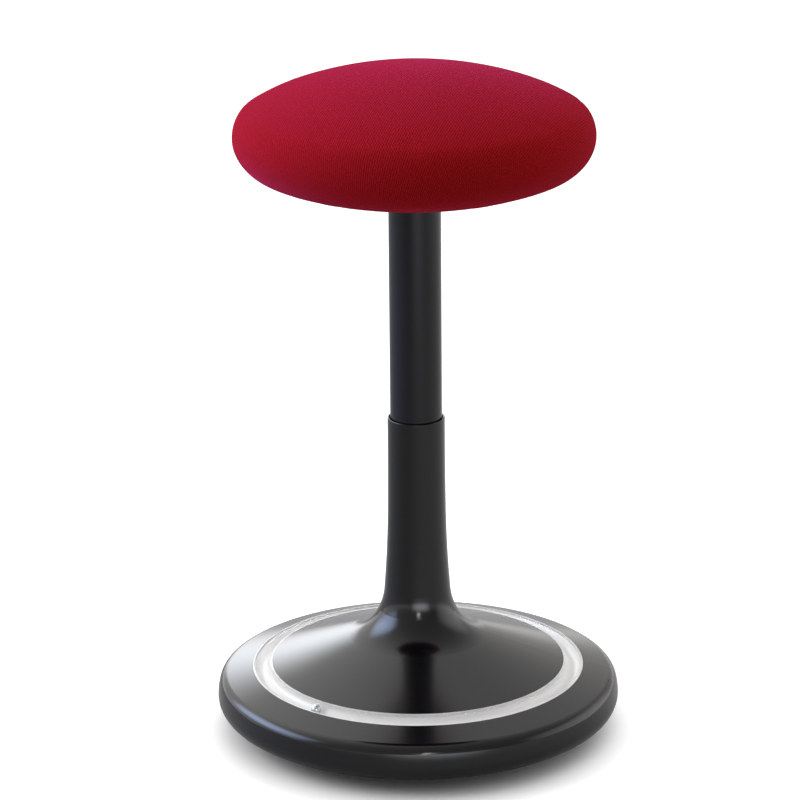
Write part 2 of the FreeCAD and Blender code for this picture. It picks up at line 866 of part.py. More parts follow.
def seat_foam():
    inset = fabric_thickness + soft_clearance
    outline = Outline(0, board_top + soft_clearance)
    outline.line(board_radius + soft_clearance, board_top + soft_clearance)
    outline.line(board_radius + soft_clearance, board_bottom - soft_clearance)
    outline.line(fabric_edge_radius, board_bottom - soft_clearance)
    outline.along(backwards(seat_lower_skin(fabric_edge_radius, inset)))
    outline.along(seat_upper_skin(inset))
    return outline.spin()


def seat_board():
    board = disc(board_radius, board_bottom, board_top)
    rims = [ring_edge(board, board_bottom), ring_edge(board, board_top)]
    board = board.makeFillet(board_edge_radius, rims)
    flange_bottom = board_top - tee_flange - panel_gap
    flange = disc(tee_flange_radius + panel_gap, flange_bottom, board_top + 1, arm_reach)
    barrel = disc(tee_barrel_radius + panel_gap, board_bottom - 1, board_top, arm_reach)
    board = board.cut(group(around(flange.fuse(barrel), 4, lever_azimuth + 45)))
    pilot = disc(small_screw_radius + running_clearance, board_bottom - 1, board_bottom + pilot_depth,
                 under_cover_post_circle)
    return board.cut(group(around(pilot, 4, lever_azimuth + 45)))


def tee_nuts():
    bore = seat_screw_radius + running_clearance
    low = board_top - tee_length
    nut = disc(tee_barrel_radius, low, board_top - tee_flange, arm_reach)
    nut = nut.fuse(disc(tee_flange_radius, board_top - tee_flange, board_top, arm_reach))
    nut = nut.cut(disc(bore, low - 1, board_top + 1, arm_reach))
    return group(around(nut, 4, lever_azimuth + 45))


def seat_screws():
    end = board_top - tee_screw_end_gap
    bolt = screw(seat_screw_radius, board_bottom - arm_thickness, end, arm_reach)
    return group(around(bolt, 4, lever_azimuth + 45))


def seat_hub():
    """The casting between column and board: a spigot, a boss with the lever's slot, four arms."""
    boss = disc(seat_hub_radius, tube_top, board_bottom)
    boss = boss.makeFillet(boss_fillet, [ring_edge(boss, tube_top)])
    spigot_radius = tube_radius - tube_wall - running_clearance
    spigot = disc(spigot_radius, tube_top - spigot_length, tube_top + 1)
    spigot = spigot.makeChamfer(spigot_edge_cut, [ring_edge(spigot, tube_top - spigot_length)])
    hub = boss.fuse(spigot)
    for i in range(4):
        hub = hub.fuse(turned(hub_arm(), 45 + 90 * i))
    hub = hub.cut(disc(cylinder_radius + running_clearance, tube_top - spigot_length - 1,
                       lever_pivot_height + 6))
    slot = Part.makeBox(seat_hub_radius + lever_inner_reach + 5, lever_slot_width, lever_slot_height,
                        Vector(-lever_inner_reach - 3, -lever_slot_width / 2,
                               tube_top + lever_slot_floor))
    pin = Part.makeCylinder(pivot_pin_radius + running_clearance, 2 * seat_hub_radius,
                            Vector(lever_pivot_reach, -seat_hub_radius, lever_pivot_height),
                            Vector(0, 1, 0))
    return turned(hub.cut(slot).cut(pin), lever_azimuth)


def hub_arm():
    """One arm of the casting: a tapered web, a rib under it and a round pad for the screw."""
    low = board_bottom - arm_thickness
    web = tapered_bar(arm_root, arm_root_width / 2, arm_tip_width / 2, arm_reach, low, board_bottom)
    pad = disc(arm_pad_radius, low, board_bottom, arm_reach)
    side = -arm_rib_width / 2
    tip = arm_reach - arm_pad_radius + 1
    rib_points = [Vector(arm_root, side, low + 1), Vector(tip, side, low + 1),
                  Vector(tip, side, low), Vector(seat_hub_radius - 4, side, low - arm_rib_depth),
                  Vector(arm_root, side, low - arm_rib_depth), Vector(arm_root, side, low + 1)]
    rib = Part.Face(Part.makePolygon(rib_points)).extrude(Vector(0, arm_rib_width, 0))
    hole = disc(seat_screw_radius + screw_hole_gap, low - 1, board_bottom + 1, arm_reach)
    return web.fuse(pad).fuse(rib).cut(hole)


def tapered_bar(start, half_start, half_end, end, low, high):
    corners = [Vector(start, -half_start, low), Vector(end, -half_end, low),
               Vector(end, half_end, low), Vector(start, half_start, low)]
    corners.append(corners[0])
    return Part.Face(Part.makePolygon(corners)).extrude(Vector(0, 0, high - low))


def underside_cover():
    """The moulded dish that closes the cushion's underside round the column."""
    rim = fabric_edge_radius - soft_clearance
    foot = fabric_edge_radius - under_cover_foot
    knee_r, knee_z = under_cover_knee[0], tube_top + under_cover_knee[1]
    collar_r, collar_z = under_cover_collar[0], tube_top + under_cover_collar[1]
    hole = tube_radius + under_cover_collar_gap
    thick = under_cover_thickness
    upper = under_arc(foot, rim, thick)
    lower = under_arc(foot, rim, 0)
    outline = Outline(*upper[0][0])
    outline.along(upper)
    outline.along(backwards(lower))
    outline.line(knee_r, knee_z)
    outline.line(collar_r, collar_z)
    outline.line(hole, collar_z)
    outline.line(hole, collar_z + thick)
    outline.line(collar_r - 1, collar_z + thick)
    outline.line(knee_r - 1, knee_z + thick)
    cover = outline.spin()
    post_low = lower[0][0][1] - 1.0
    post = disc(under_cover_post_radius, post_low, board_bottom, under_cover_post_circle)
    post = post.cut(below_dish(lower, knee_r, knee_z))
    cover = cover.fuse(around(post, 4, lever_azimuth + 45))
    bore = disc(small_screw_radius + screw_hole_gap, post_low - 10, board_bottom + 1,
                under_cover_post_circle)
    sink_radius = screw_head_ratio * small_screw_radius + screw_hole_gap
    sink = disc(sink_radius, post_low - 10, cover_screw_seat(), under_cover_post_circle)
    cover = cover.cut(group(around(bore.fuse(sink), 4, lever_azimuth + 45)))
    side = lever_rod_radius + cover_slot_side_gap
    slot = Part.makeBox(cover_slot_end - cover_slot_start, 2 * side, 40,
                        Vector(cover_slot_start, -side, tube_top - 20))
    return cover.cut(turned(slot, lever_azimuth))


def cover_screw_seat():
    return board_bottom - under_cover_screw_drop


def below_dish(lower, knee_r, knee_z):
    """Everything under the dish's lower face."""
    outline = Outline(knee_r - 20, knee_z - 30)
    outline.line(lower[0][2][0], knee_z - 30)
    outline.along(backwards(lower))
    outline.line(knee_r, knee_z)
    outline.line(knee_r - 20, knee_z)
    return outline.spin()


def under_arc(inner, outer, inset):
    """A stretch of the cushion's underside between two radii, moved in or out."""
    far = seat_under_angle(inner, inset)
    near = seat_under_angle(outer, inset)
    skin = tangent_arcs((seat_radius, seat_mid_height), 0,
                        seat_bends_down + [(seat_under_radius, near)])
    return backwards(tangent_arcs(skin[-1][2], near, [(seat_under_radius, far)], inset))


def cover_screws():
    end = board_bottom + pilot_depth - 1
    bolt = screw(small_screw_radius, cover_screw_seat(), end, under_cover_post_circle)
    return group(around(bolt, 4, lever_azimuth + 45))


# Release lever


def lever_route():
    """The rod's corners from the valve pin out to the paddle."""
    high = lever_pivot_height
    low = high - lever_drop
    return [(-lever_inner_reach, high), (lever_first_bend, high),
            (lever_second_bend, low), (lever_rod_end, low)]


def lever_rod():
    corners = [Vector(r, 0, z) for r, z in lever_route()]
    edges = []
    begin = corners[0]
    for before, corner, after in zip(corners, corners[1:], corners[2:]):
        into = (corner - before).normalize()
        out = (after - corner).normalize()
        turn = into.getAngle(out)
        cut = lever_bend_radius * math.tan(turn / 2)
        first, last = corner - into * cut, corner + out * cut
        inward = (out - into).normalize()
        centre = corner + inward * (lever_bend_radius / math.cos(turn / 2))
        edges.append(Part.makeLine(begin, first))
        edges.append(Part.Arc(first, centre - inward * lever_bend_radius, last).toShape())
        begin = last
    edges.append(Part.makeLine(begin, corners[-1]))
    path = Part.Wire(edges)
    section = Part.Wire(Part.makeCircle(lever_rod_radius, corners[0], Vector(1, 0, 0)))
    rod = path.makePipeShell([section], True, False)
    half = pivot_barrel_width / 2
    barrel = Part.makeCylinder(pivot_barrel_radius, pivot_barrel_width,
                               Vector(lever_pivot_reach, -half, lever_pivot_height), Vector(0, 1, 0))
    bore = Part.makeCylinder(pivot_pin_radius + running_clearance, 4 * half,
                             Vector(lever_pivot_reach, -2 * half, lever_pivot_height), Vector(0, 1, 0))
    return turned(rod.fuse(barrel).cut(bore), lever_azimuth)


def lever_pin():
    half = seat_hub_radius * 0.6
    pin = Part.makeCylinder(pivot_pin_radius, 2 * half,
                            Vector(lever_pivot_reach, -half, lever_pivot_height), Vector(0, 1, 0))
    return turned(pin, lever_azimuth)


def lever_paddle():
    """The moulded grip: a sleeve on the rod that runs out into a flat blade for two fingers."""
    height = lever_pivot_height - lever_drop
    blade = paddle_plan(height - paddle_thickness / 2).extrude(Vector(0, 0, paddle_thickness))
    flat_edges = [edge for edge in blade.Edges if edge.BoundBox.ZLength < 1e-6]
    blade = blade.makeFillet(paddle_edge_radius, flat_edges)
    blade.rotate(Vector(paddle_start, 0, height), Vector(0, 1, 0), -paddle_tilt)
    sleeve = along_rod(paddle_sleeve_radius, paddle_start, lever_rod_end + paddle_sleeve_end, height)
    tip = [edge for edge in sleeve.Edges if edge.BoundBox.XMin > lever_rod_end]
    sleeve = sleeve.makeFillet(paddle_sleeve_end / 2, tip)
    bore = along_rod(lever_rod_radius + running_clearance, paddle_start - 1,
                     lever_rod_end + running_clearance, height)
    return turned(blade.fuse(sleeve).cut(bore), lever_azimuth)


def along_rod(radius, begin, end, height):
    return Part.makeCylinder(radius, end - begin, Vector(begin, 0, height), Vector(1, 0, 0))


def paddle_plan(level):
    """The blade seen from above: a small round and a large one, joined by lines that touch both."""
    small = (paddle_start + paddle_neck_radius, paddle_neck_radius)
    large = (paddle_end - paddle_width / 2, paddle_width / 2)
    turn = math.asin((large[1] - small[1]) / (large[0] - small[0]))

    def touch(circle, side):
        centre, radius = circle
        return Vector(centre - radius * math.sin(turn), side * radius * math.cos(turn), level)

    neck = Vector(paddle_start, 0, level)
    tip = Vector(paddle_end, 0, level)
    edges = [Part.makeLine(touch(small, -1), touch(large, -1)),
             Part.Arc(touch(large, -1), tip, touch(large, 1)).toShape(),
             Part.makeLine(touch(large, 1), touch(small, 1)),
             Part.Arc(touch(small, 1), neck, touch(small, -1)).toShape()]
    return Part.Face(Part.Wire(edges))


nodes = {
    "rocker_sole": rocker_sole,
    "base_pan": base_pan,
    "rim_shell": rim_shell,
    "rim_screws": lambda: base_screws(1, rim_screw_top()),
    "trumpet_shell": trumpet_shell,
    "trumpet_screws": lambda: base_screws(0, post_screw_top()),
    "track_channel": track_channel,
    "track_cover": track_cover,
    "track_ball": track_ball,
    "upper_guide_bush": lambda: guide_bush(upper_bush_top - bush_length),
    "lower_guide_bush": lambda: guide_bush(lower_bush_bottom),
    "ballast_ring": ballast_ring,
    "ballast_screws": ballast_screws,
    "bearing_hub": bearing_hub,
    "bearing_hub_screws": bearing_hub_screws,
    "rubber_buffer": lambda: ring(stack_bore, washer_radius, buffer_bottom, lower_washer_bottom),
    "lower_thrust_washer": lambda: ring(stack_bore, washer_radius, lower_washer_bottom, bearing_bottom),
    "bearing_cage": bearing_cage,
    "bearing_balls": bearing_balls,
    "upper_thrust_washer": lambda: ring(rod_neck_radius + running_clearance, washer_radius,
                                        upper_washer_bottom, rod_shoulder),
    "piston_rod": piston_rod,
    "piston": piston,
    "rod_washer": lambda: ring(rod_neck_radius + running_clearance, washer_radius - 3,
                               rod_washer_top - washer_thickness, rod_washer_top),
    "rod_clip": rod_clip,
    "column_tube": column_tube,
    "cylinder_bush": cylinder_bush,
    "gas_cylinder": gas_cylinder,
    "rod_seal": rod_seal,
    "valve_pin": valve_pin,
    "seat_hub": seat_hub,
    "seat_screws": seat_screws,
    "tee_nuts": tee_nuts,
    "seat_board": seat_board,
    "seat_foam": seat_foam,
    "seat_cover": seat_cover,
    "underside_cover": underside_cover,
    "cover_screws": cover_screws,
    "lever_rod": lever_rod,
    "lever_paddle": lever_paddle,
    "lever_pin": lever_pin,
}

os.makedirs("parts", exist_ok=True)
for name, make in nodes.items():
    solid = make()
    save(name, solid)
    print(name, "valid" if solid.isValid() else "NOT VALID", len(solid.Solids), round(solid.Volume))
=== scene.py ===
import json
import math
import random

import bmesh
import bpy
import numpy as np
from mathutils import Matrix, Vector


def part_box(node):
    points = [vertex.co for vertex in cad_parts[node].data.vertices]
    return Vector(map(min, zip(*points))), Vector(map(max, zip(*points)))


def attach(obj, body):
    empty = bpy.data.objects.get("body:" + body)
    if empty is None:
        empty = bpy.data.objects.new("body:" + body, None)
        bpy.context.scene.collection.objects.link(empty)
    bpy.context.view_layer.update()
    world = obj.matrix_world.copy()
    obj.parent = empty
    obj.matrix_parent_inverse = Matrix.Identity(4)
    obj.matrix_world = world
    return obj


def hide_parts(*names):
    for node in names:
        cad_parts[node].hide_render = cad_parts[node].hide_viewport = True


# Wobble stool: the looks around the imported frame. Metres and degrees. Z points up from the
# floor, the column's axis is the Z axis, and the camera looks from the front, which is -Y.

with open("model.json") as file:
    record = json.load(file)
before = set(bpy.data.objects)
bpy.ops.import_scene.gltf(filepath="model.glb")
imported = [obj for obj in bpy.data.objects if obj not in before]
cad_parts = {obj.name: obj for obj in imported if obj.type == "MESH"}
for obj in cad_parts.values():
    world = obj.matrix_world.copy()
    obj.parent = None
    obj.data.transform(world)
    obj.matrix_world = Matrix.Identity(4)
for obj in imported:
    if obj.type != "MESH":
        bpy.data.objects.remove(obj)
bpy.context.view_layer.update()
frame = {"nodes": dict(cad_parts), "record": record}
parts = frame["nodes"]
record = frame["record"]

# Camera, fitted to the stool's outlines in an image of 800 by 800
image_size = 800
focal_pixels = 3704.5
sensor_width = 36.0
camera_distance = 3.5555
camera_pitch = 17.84
camera_side = -0.0154
camera_roll = -0.5
aim_height = 0.330

# Cushion's outline, as the frame's cushion is drawn. A bend is a radius and the turn it ends at.
seat_bends_up = [(0.0347, 36.5), (0.0187, 58.3), (0.199, 69.7)]
seat_bends_down = [(0.0335, -20.0), (0.038, -65.4)]
seat_under_radius = 0.197
fabric_edge_radius = 0.112
pocket_gap = 0.0006

# Cushion's faces: a net over the crown as far as crown_reach, and rings from there on
crown_rings = 20
crown_reach = 0.130
ring_step = 0.0055
outline_step = 0.0005

# Steps of the outline that points are measured against, in metres and in degrees of a bend
foot_step = 0.0002
foot_turn = 0.25

# Swelling: how far inside its outline the cover starts, and how much of its unevenness is kept
swell = 0.003
swell_frames = 20
slack_share = 0.3

# Folds under the seat, mixed from waves that differ in count by the shifts, in height, and in
# where round the seat they start. The mixed waves are about gather_span high, gather_fade is how
# steeply the folds die away outwards, and gather_facing is how far down their faces look.
gather_count = 46
gather_shifts = (-5, -2, 0, 3, 7)
gather_heights = (0.5, 1.0)
gather_starts = (0, 6.28)
gather_span = 4.4
gather_facing = -0.5
gather_depth = 0.0009
gather_start_radius = 0.125
gather_fade = 1.5
gather_seed = 7

# Clear cover over the ball track, as the frame's cover is drawn
ring_inner_radius = 0.1429
ring_outer_radius = 0.1618
ring_fall = 0.0040
track_flange = 0.0011
panel_gap = 0.0001
cover_seat_depth = 0.0019
cover_crown = 0.00295
cover_thickness = 0.0012
cover_foot = 0.0012
cover_facets = 480
cover_crease = 30.0

# Nearer to the column's axis than this, a ring is one point. The second keeps a division safe.
on_axis = 1e-6
least_reach = 1e-9


def sine(angle):
    return math.sin(math.radians(angle))


def cosine(angle):
    return math.cos(math.radians(angle))


# Outlines in radius and height


def tangent_run(start, angle, bends, inset=0.0, step=2.0):
    """Points along arcs that run into each other with no corner.

    start is the first place on the skin and angle its outward normal above level. Each bend is a
    radius and the normal's angle at its far end. inset moves the run inwards, and step is the
    turn from one point to the next.
    """
    places = []
    for radius, far in bends:
        centre_r = start[0] - radius * cosine(angle)
        centre_z = start[1] - radius * sine(angle)
        count = max(2, math.ceil(abs(far - angle) / step))
        for i in range(count + 1):
            turn = angle + (far - angle) * i / count
            reach = radius - inset
            places.append((centre_r + reach * cosine(turn), centre_z + reach * sine(turn)))
        start = (centre_r + radius * cosine(far), centre_z + radius * sine(far))
        angle = far
    return places


def cushion_outline(inset, step=2.0):
    """The cushion's skin from the fabric's edge under the seat, out and up to the middle."""
    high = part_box("seat_cover")[1]
    radius = high.x
    up_end = tangent_run((radius, 0.0), 0.0, seat_bends_up)[-1]
    crown = (up_end[0] / cosine(seat_bends_up[-1][1]), 90.0)
    rise = tangent_run((radius, 0.0), 0.0, seat_bends_up + [crown])[-1][1]
    start = (radius, high.z - rise)
    down_end = tangent_run(start, 0.0, seat_bends_down)[-1]
    centre = down_end[0] - seat_under_radius * cosine(seat_bends_down[-1][1])
    under_turn = -math.degrees(math.acos((fabric_edge_radius - centre) / seat_under_radius))
    under = (seat_under_radius, under_turn)
    below = tangent_run(start, 0.0, seat_bends_down + [under], inset, step)
    above = tangent_run(start, 0.0, seat_bends_up + [crown], inset, step)
    return below[::-1] + above[1:]


def arc_through(begin, middle, end, count=16):
    """Places along the arc through three points, the first and last among them."""
    (ax, ay), (bx, by), (cx, cy) = begin, middle, end
    twice = 2 * (ax * (by - cy) + bx * (cy - ay) + cx * (ay - by))
    a2, b2, c2 = ax * ax + ay * ay, bx * bx + by * by, cx * cx + cy * cy
    centre = ((a2 * (by - cy) + b2 * (cy - ay) + c2 * (ay - by)) / twice,
              (a2 * (cx - bx) + b2 * (ax - cx) + c2 * (bx - ax)) / twice)
    radius = math.dist(centre, begin)
    first, last = (math.atan2(place[1] - centre[1], place[0] - centre[0])
                   for place in (begin, end))
    return [(centre[0] + radius * math.cos(turn), centre[1] + radius * math.sin(turn))
            for turn in np.linspace(first, last, count)]


def run_lengths(line):
    """How far along the line each of its places lies."""
    return np.concatenate([[0], np.cumsum(np.hypot(*np.diff(line, axis=0).T))])


def even_run(places, step):
    """The same line with places at even steps, its ends kept."""
    line = np.array(places)
    lengths = run_lengths(line)
    spots = np.linspace(0, lengths[-1], max(2, round(lengths[-1] / step) + 1))
    return np.stack([np.interp(spots, lengths, side) for side in line.T], axis=1)


# Meshes


def new_piece(name, mesh_source):
    """An object from a bmesh."""
    mesh = bpy.data.meshes.new(name)
    mesh_source.to_mesh(mesh)
    mesh_source.free()
    piece = bpy.data.objects.new(name, mesh)
    bpy.context.scene.collection.objects.link(piece)
    return piece


def ring_of_points(shell, radius, height, count):
    """A ring round the column's axis, or the same point again and again where it is on the axis."""
    if radius < on_axis:
        return [shell.verts.new((0, 0, height))] * count
    spots = [360.0 * i / count for i in range(count)]
    return [shell.verts.new((radius * cosine(a), radius * sine(a), height)) for a in spots]


def join_rings(shell, first, second):
    """Faces between two rings, with three corners where a ring is one point."""
    count = len(first)
    for i in range(count):
        j = (i + 1) % count
        corners = []
        for corner in (first[i], first[j], second[j], second[i]):
            if corner not in corners:
                corners.append(corner)
        shell.faces.new(corners)


def lathe(name, section, count):
    """A ring-shaped form from a closed section in radius and height."""
    shell = bmesh.new()
    rings = [ring_of_points(shell, radius, height, count) for radius, height in section]
    for i, ring in enumerate(rings):
        join_rings(shell, ring, rings[(i + 1) % len(rings)])
    bmesh.ops.recalc_face_normals(shell, faces=shell.faces)
    return new_piece(name, shell)


def crowned_form(name, crown, sides):
    """A closed round form with even faces: a square net drawn into the crown, then rings below it.

    crown holds the radius and height of each round of the net, from the middle out. sides holds the
    rings after it, and its last place is on the column's axis.
    """
    shell = bmesh.new()
    last = len(crown) - 1
    net = {}
    for i in range(-last, last + 1):
        for j in range(-last, last + 1):
            radius, height = crown[max(abs(i), abs(j))]
            turn = net_turn(i, j)
            net[i, j] = shell.verts.new((radius * cosine(turn), radius * sine(turn), height))
    for i in range(-last, last):
        for j in range(-last, last):
            shell.faces.new((net[i, j], net[i + 1, j], net[i + 1, j + 1], net[i, j + 1]))
    edge = [place for place in net if max(abs(place[0]), abs(place[1])) == last]
    edge.sort(key=lambda place: net_turn(*place) % 360.0)
    rings = [[net[place] for place in edge]]
    rings += [ring_of_points(shell, radius, height, len(edge)) for radius, height in sides]
    for first, second in zip(rings, rings[1:]):
        join_rings(shell, first, second)
    bmesh.ops.recalc_face_normals(shell, faces=shell.faces)
    return new_piece(name, shell)


def net_turn(i, j):
    """The direction from the middle to a crossing of the net, once its squares are drawn round."""
    if i == j == 0:
        return 0.0
    if abs(i) >= abs(j):
        return 45.0 * j / i + (180.0 if i < 0 else 0.0)
    return 90.0 - 45.0 * i / j + (180.0 if j < 0 else 0.0)


def smooth(piece, crease=180.0):
    """Shades the piece round, but for edges sharper than the crease."""
    for face in piece.data.polygons:
        face.use_smooth = True
    piece.data.set_sharp_from_angle(angle=math.radians(crease))


def apply_modifiers(piece):
    bpy.context.view_layer.objects.active = piece
    for other in bpy.context.selected_objects:
        other.select_set(False)
    piece.select_set(True)
    for modifier in list(piece.modifiers):
        bpy.ops.object.modifier_apply(modifier=modifier.name)


def vertex_array(mesh, field="co"):
    """The places or normals of a mesh's points, a row for each."""
    values = np.zeros(len(mesh.vertices) * 3)
    mesh.vertices.foreach_get(field, values)
    return values.reshape(-1, 3)


def set_vertices(piece, places):
    piece.data.vertices.foreach_set("co", places.ravel())
    piece.data.update()


def store_values(piece, name, kind, field, values):
    """Keeps a value or a vector for each point, for later steps and for the material."""
    attribute = piece.data.attributes.new(name, kind, "POINT")
    attribute.data.foreach_set(field, values.astype(np.float32).ravel())


def reach_of(places):
    """Each point's distance from the column's axis."""
    return np.hypot(places[:, 0], places[:, 1])


def turn_of(places):
    """Each point's direction from the column's axis, in radians."""
    return np.arctan2(places[:, 1], places[:, 0])


# Cushion


def make_cushion():
    """The padded seat: blown up round its board, laid on its outline and gathered underneath."""
    board_low, board_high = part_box("seat_board")
    board_radius = board_high.x + pocket_gap
    skin = even_run(cushion_outline(swell)[::-1], outline_step)
    crown_end = int(np.searchsorted(run_lengths(skin), crown_reach))
    crown = even_run(skin[:crown_end + 1], crown_reach / crown_rings)
    sides = [even_run(skin[crown_end:], ring_step)[1:]]
    pocket = [skin[-1],
              (fabric_edge_radius, board_low.z - pocket_gap),
              (board_radius, board_low.z - pocket_gap),
              (board_radius, board_high.z + pocket_gap),
              (0.0, board_high.z + pocket_gap)]
    for begin, end in zip(pocket, pocket[1:]):
        sides.append(even_run([begin, end], ring_step)[1:])
    cushion = crowned_form("cushion", crown, np.concatenate(sides))
    held = pocket_points(vertex_array(cushion.data))
    slack = swell_cushion(cushion, held)
    lay_on_skin(cushion, ~held, np.zeros(len(held)))
    store_values(cushion, "slack", "FLOAT", "value", slack)
    rounder = cushion.modifiers.new("rounder", "SUBSURF")
    rounder.subdivision_type = "SIMPLE"
    rounder.levels = 1
    apply_modifiers(cushion)
    held = pocket_points(vertex_array(cushion.data))
    slack = np.zeros(len(held))
    cushion.data.attributes["slack"].data.foreach_get("value", slack)
    lay_on_skin(cushion, ~held, slack)
    gather_underside(cushion)
    smooth(cushion)
    lay_cloth_coordinates(cushion)
    return cushion


def pocket_points(places):
    """Which points lie in the board's pocket or at the fabric's edge, where the cover is fixed."""
    board_low, board_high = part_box("seat_board")
    margin = 2 * pocket_gap
    reach = reach_of(places)
    inside = (places[:, 2] < board_high.z + margin) & (reach < board_high.x + margin)
    at_edge = reach < fabric_edge_radius + pocket_gap
    return inside & ((places[:, 2] > board_low.z - margin) | at_edge)


def swell_cushion(cushion, held):
    """Blows the cover up as foam does, held in the board's pocket, and returns how it lies uneven.

    The even part of the swelling is the drawn outline's, so only what differs round the cushion
    is kept.
    """
    before = vertex_array(cushion.data)
    fixed = cushion.vertex_groups.new(name="fixed")
    fixed.add([int(i) for i in np.nonzero(held)[0]], 1.0, "ADD")
    cloth = cushion.modifiers.new("cloth", "CLOTH")
    cloth.settings.quality = 6
    cloth.settings.vertex_group_mass = fixed.name
    cloth.settings.use_pressure = True
    cloth.settings.uniform_pressure_force = 4.0
    cloth.settings.tension_stiffness = 12.0
    cloth.settings.compression_stiffness = 12.0
    cloth.settings.shear_stiffness = 6.0
    cloth.settings.bending_stiffness = 0.6
    cloth.settings.effector_weights.gravity = 0.0
    cloth.collision_settings.use_collision = False
    cloth.point_cache.frame_start = 1
    cloth.point_cache.frame_end = swell_frames
    for step in range(1, swell_frames + 1):
        bpy.context.scene.frame_set(step)
    seen = cushion.evaluated_get(bpy.context.evaluated_depsgraph_get())
    after = vertex_array(seen.data)
    cushion.modifiers.remove(cloth)
    cushion.vertex_groups.remove(fixed)
    bpy.context.scene.frame_set(1)
    along, lift = against_skin(before)[:2]
    lift_after = against_skin(after)[1]
    rise = np.clip(lift_after - lift, -swell, 2 * swell)
    spot = along / (2 * ring_step)
    bins = np.round(spot).astype(int)
    even = np.bincount(bins, weights=rise) / np.maximum(np.bincount(bins), 1)
    even_here = np.interp(spot, np.arange(len(even)), even)
    fade = np.clip(along / crown_reach, 0.0, 1.0) ** 2
    return np.where(held, 0.0, slack_share * fade * (rise - even_here))


def against_skin(places, block_size=2000):
    """Measures points against the drawn outline, some at a time to spare memory.

    For each point it returns how far along the outline it lies, its height over it, its foot on
    it, and the outline's normal there.
    """
    line = even_run(cushion_outline(0.0, foot_turn)[::-1], foot_step)
    step = np.hypot(*(line[1] - line[0]))
    tangents = np.gradient(line, axis=0)
    tangents /= np.hypot(tangents[:, 0], tangents[:, 1])[:, None]
    flat = np.stack([reach_of(places), places[:, 2]], axis=1)
    nearest = np.empty(len(places), int)
    for first in range(0, len(places), block_size):
        block = slice(first, first + block_size)
        gap = (flat[block, None, 0] - line[:, 0]) ** 2 + (flat[block, None, 1] - line[:, 1]) ** 2
        nearest[block] = gap.argmin(axis=1)
    away = flat - line[nearest]
    tangent = tangents[nearest]
    normal = np.stack([-tangent[:, 1], tangent[:, 0]], axis=1)
    shift = (away * tangent).sum(axis=1)
    foot = line[nearest] + tangent * shift[:, None]
    return nearest * step + shift, (away * normal).sum(axis=1), foot, normal


def lay_on_skin(cushion, free, lift):
    """Moves the free points onto the drawn outline, and then out by lift."""
    places = vertex_array(cushion.data)
    foot, normal = against_skin(places)[2:]
    target = foot + normal * lift[:, None]
    stretch = target[:, 0] / np.maximum(reach_of(places), least_reach)
    moved = np.stack([places[:, 0] * stretch, places[:, 1] * stretch, target[:, 1]], axis=1)
    places[free] = moved[free]
    set_vertices(cushion, places)


def gather_underside(cushion):
    """Small folds under the seat, where the round cover is drawn in to its edge."""
    places = vertex_array(cushion.data)
    normals = vertex_array(cushion.data, "normal")
    span = gather_start_radius - fabric_edge_radius
    share = np.clip((gather_start_radius - reach_of(places)) / span, 0.0, 1.0)
    below_board = places[:, 2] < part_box("seat_board")[0].z - 2 * pocket_gap
    under = (normals[:, 2] < gather_facing) & below_board
    turn = turn_of(places)
    dice = random.Random(gather_seed)
    folds = np.zeros(len(places))
    for shift in gather_shifts:
        height, start = dice.uniform(*gather_heights), dice.uniform(*gather_starts)
        folds += height * np.sin((gather_count + shift) * turn + start)
    depth = gather_depth * share ** gather_fade * under * (folds - folds.max()) / gather_span
    set_vertices(cushion, places + normals * depth[:, None])


def lay_cloth_coordinates(cushion):
    """Stores where each point lies on the flat cloth, before it was pulled over the foam."""
    places = vertex_array(cushion.data)
    along, turn = against_skin(places)[0], turn_of(places)
    flat = np.stack([along * np.cos(turn), along * np.sin(turn), np.zeros(len(places))], axis=1)
    store_values(cushion, "flat_cloth", "FLOAT_VECTOR", "vector", flat)


# Clear cover of the ball track


def make_track_cover():
    """The crowned clear ring, with finer facets than the frame's, because light bends in it."""
    ring_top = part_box("track_channel")[1].z
    width = ring_outer_radius - ring_inner_radius
    inner = ring_inner_radius + track_flange + panel_gap
    outer = ring_outer_radius - track_flange - panel_gap
    middle = ring_inner_radius + width / 2

    def plane(radius):
        return ring_top - ring_fall * (radius - ring_inner_radius) / width

    crown = plane(middle) + cover_crown
    ledge_in = plane(ring_inner_radius + track_flange) - cover_seat_depth
    ledge_out = plane(ring_outer_radius - track_flange) - cover_seat_depth
    section = [(inner, ledge_in), (inner + cover_foot, ledge_in)]
    section += arc_through((inner + cover_foot, plane(inner) - cover_thickness / 2),
                           (middle, crown - cover_thickness),
                           (outer - cover_foot, plane(outer) - cover_thickness / 2))
    section += [(outer - cover_foot, ledge_out), (outer, ledge_out)]
    section += arc_through((outer, plane(outer)), (middle, crown), (inner, plane(inner)))
    cover = lathe("track_cover_clear", section, cover_facets)
    smooth(cover, cover_crease)
    return cover


# Material helpers


def feed(tree, node, **inputs):
    """Fills a node's inputs with values or with other nodes' outputs.

    An input goes by its name, with _ for each space, or by i and its number.
    """
    for name, value in inputs.items():
        if name[0] == "i" and name[1:].isdigit():
            socket = node.inputs[int(name[1:])]
        else:
            socket = node.inputs[name.replace("_", " ")]
        if isinstance(value, bpy.types.NodeSocket):
            tree.links.new(value, socket)
        else:
            socket.default_value = value


def add_node(tree, kind, settings=None, **inputs):
    node = tree.nodes.new(kind)
    for key, value in (settings or {}).items():
        setattr(node, key, value)
    feed(tree, node, **inputs)
    return node


def math_node(tree, operation, *values):
    inputs = {"i" + str(i): value for i, value in enumerate(values)}
    return add_node(tree, "ShaderNodeMath", {"operation": operation}, **inputs).outputs[0]


def vector_node(tree, operation, output="Vector", **inputs):
    node = add_node(tree, "ShaderNodeVectorMath", {"operation": operation}, **inputs)
    return node.outputs[output]


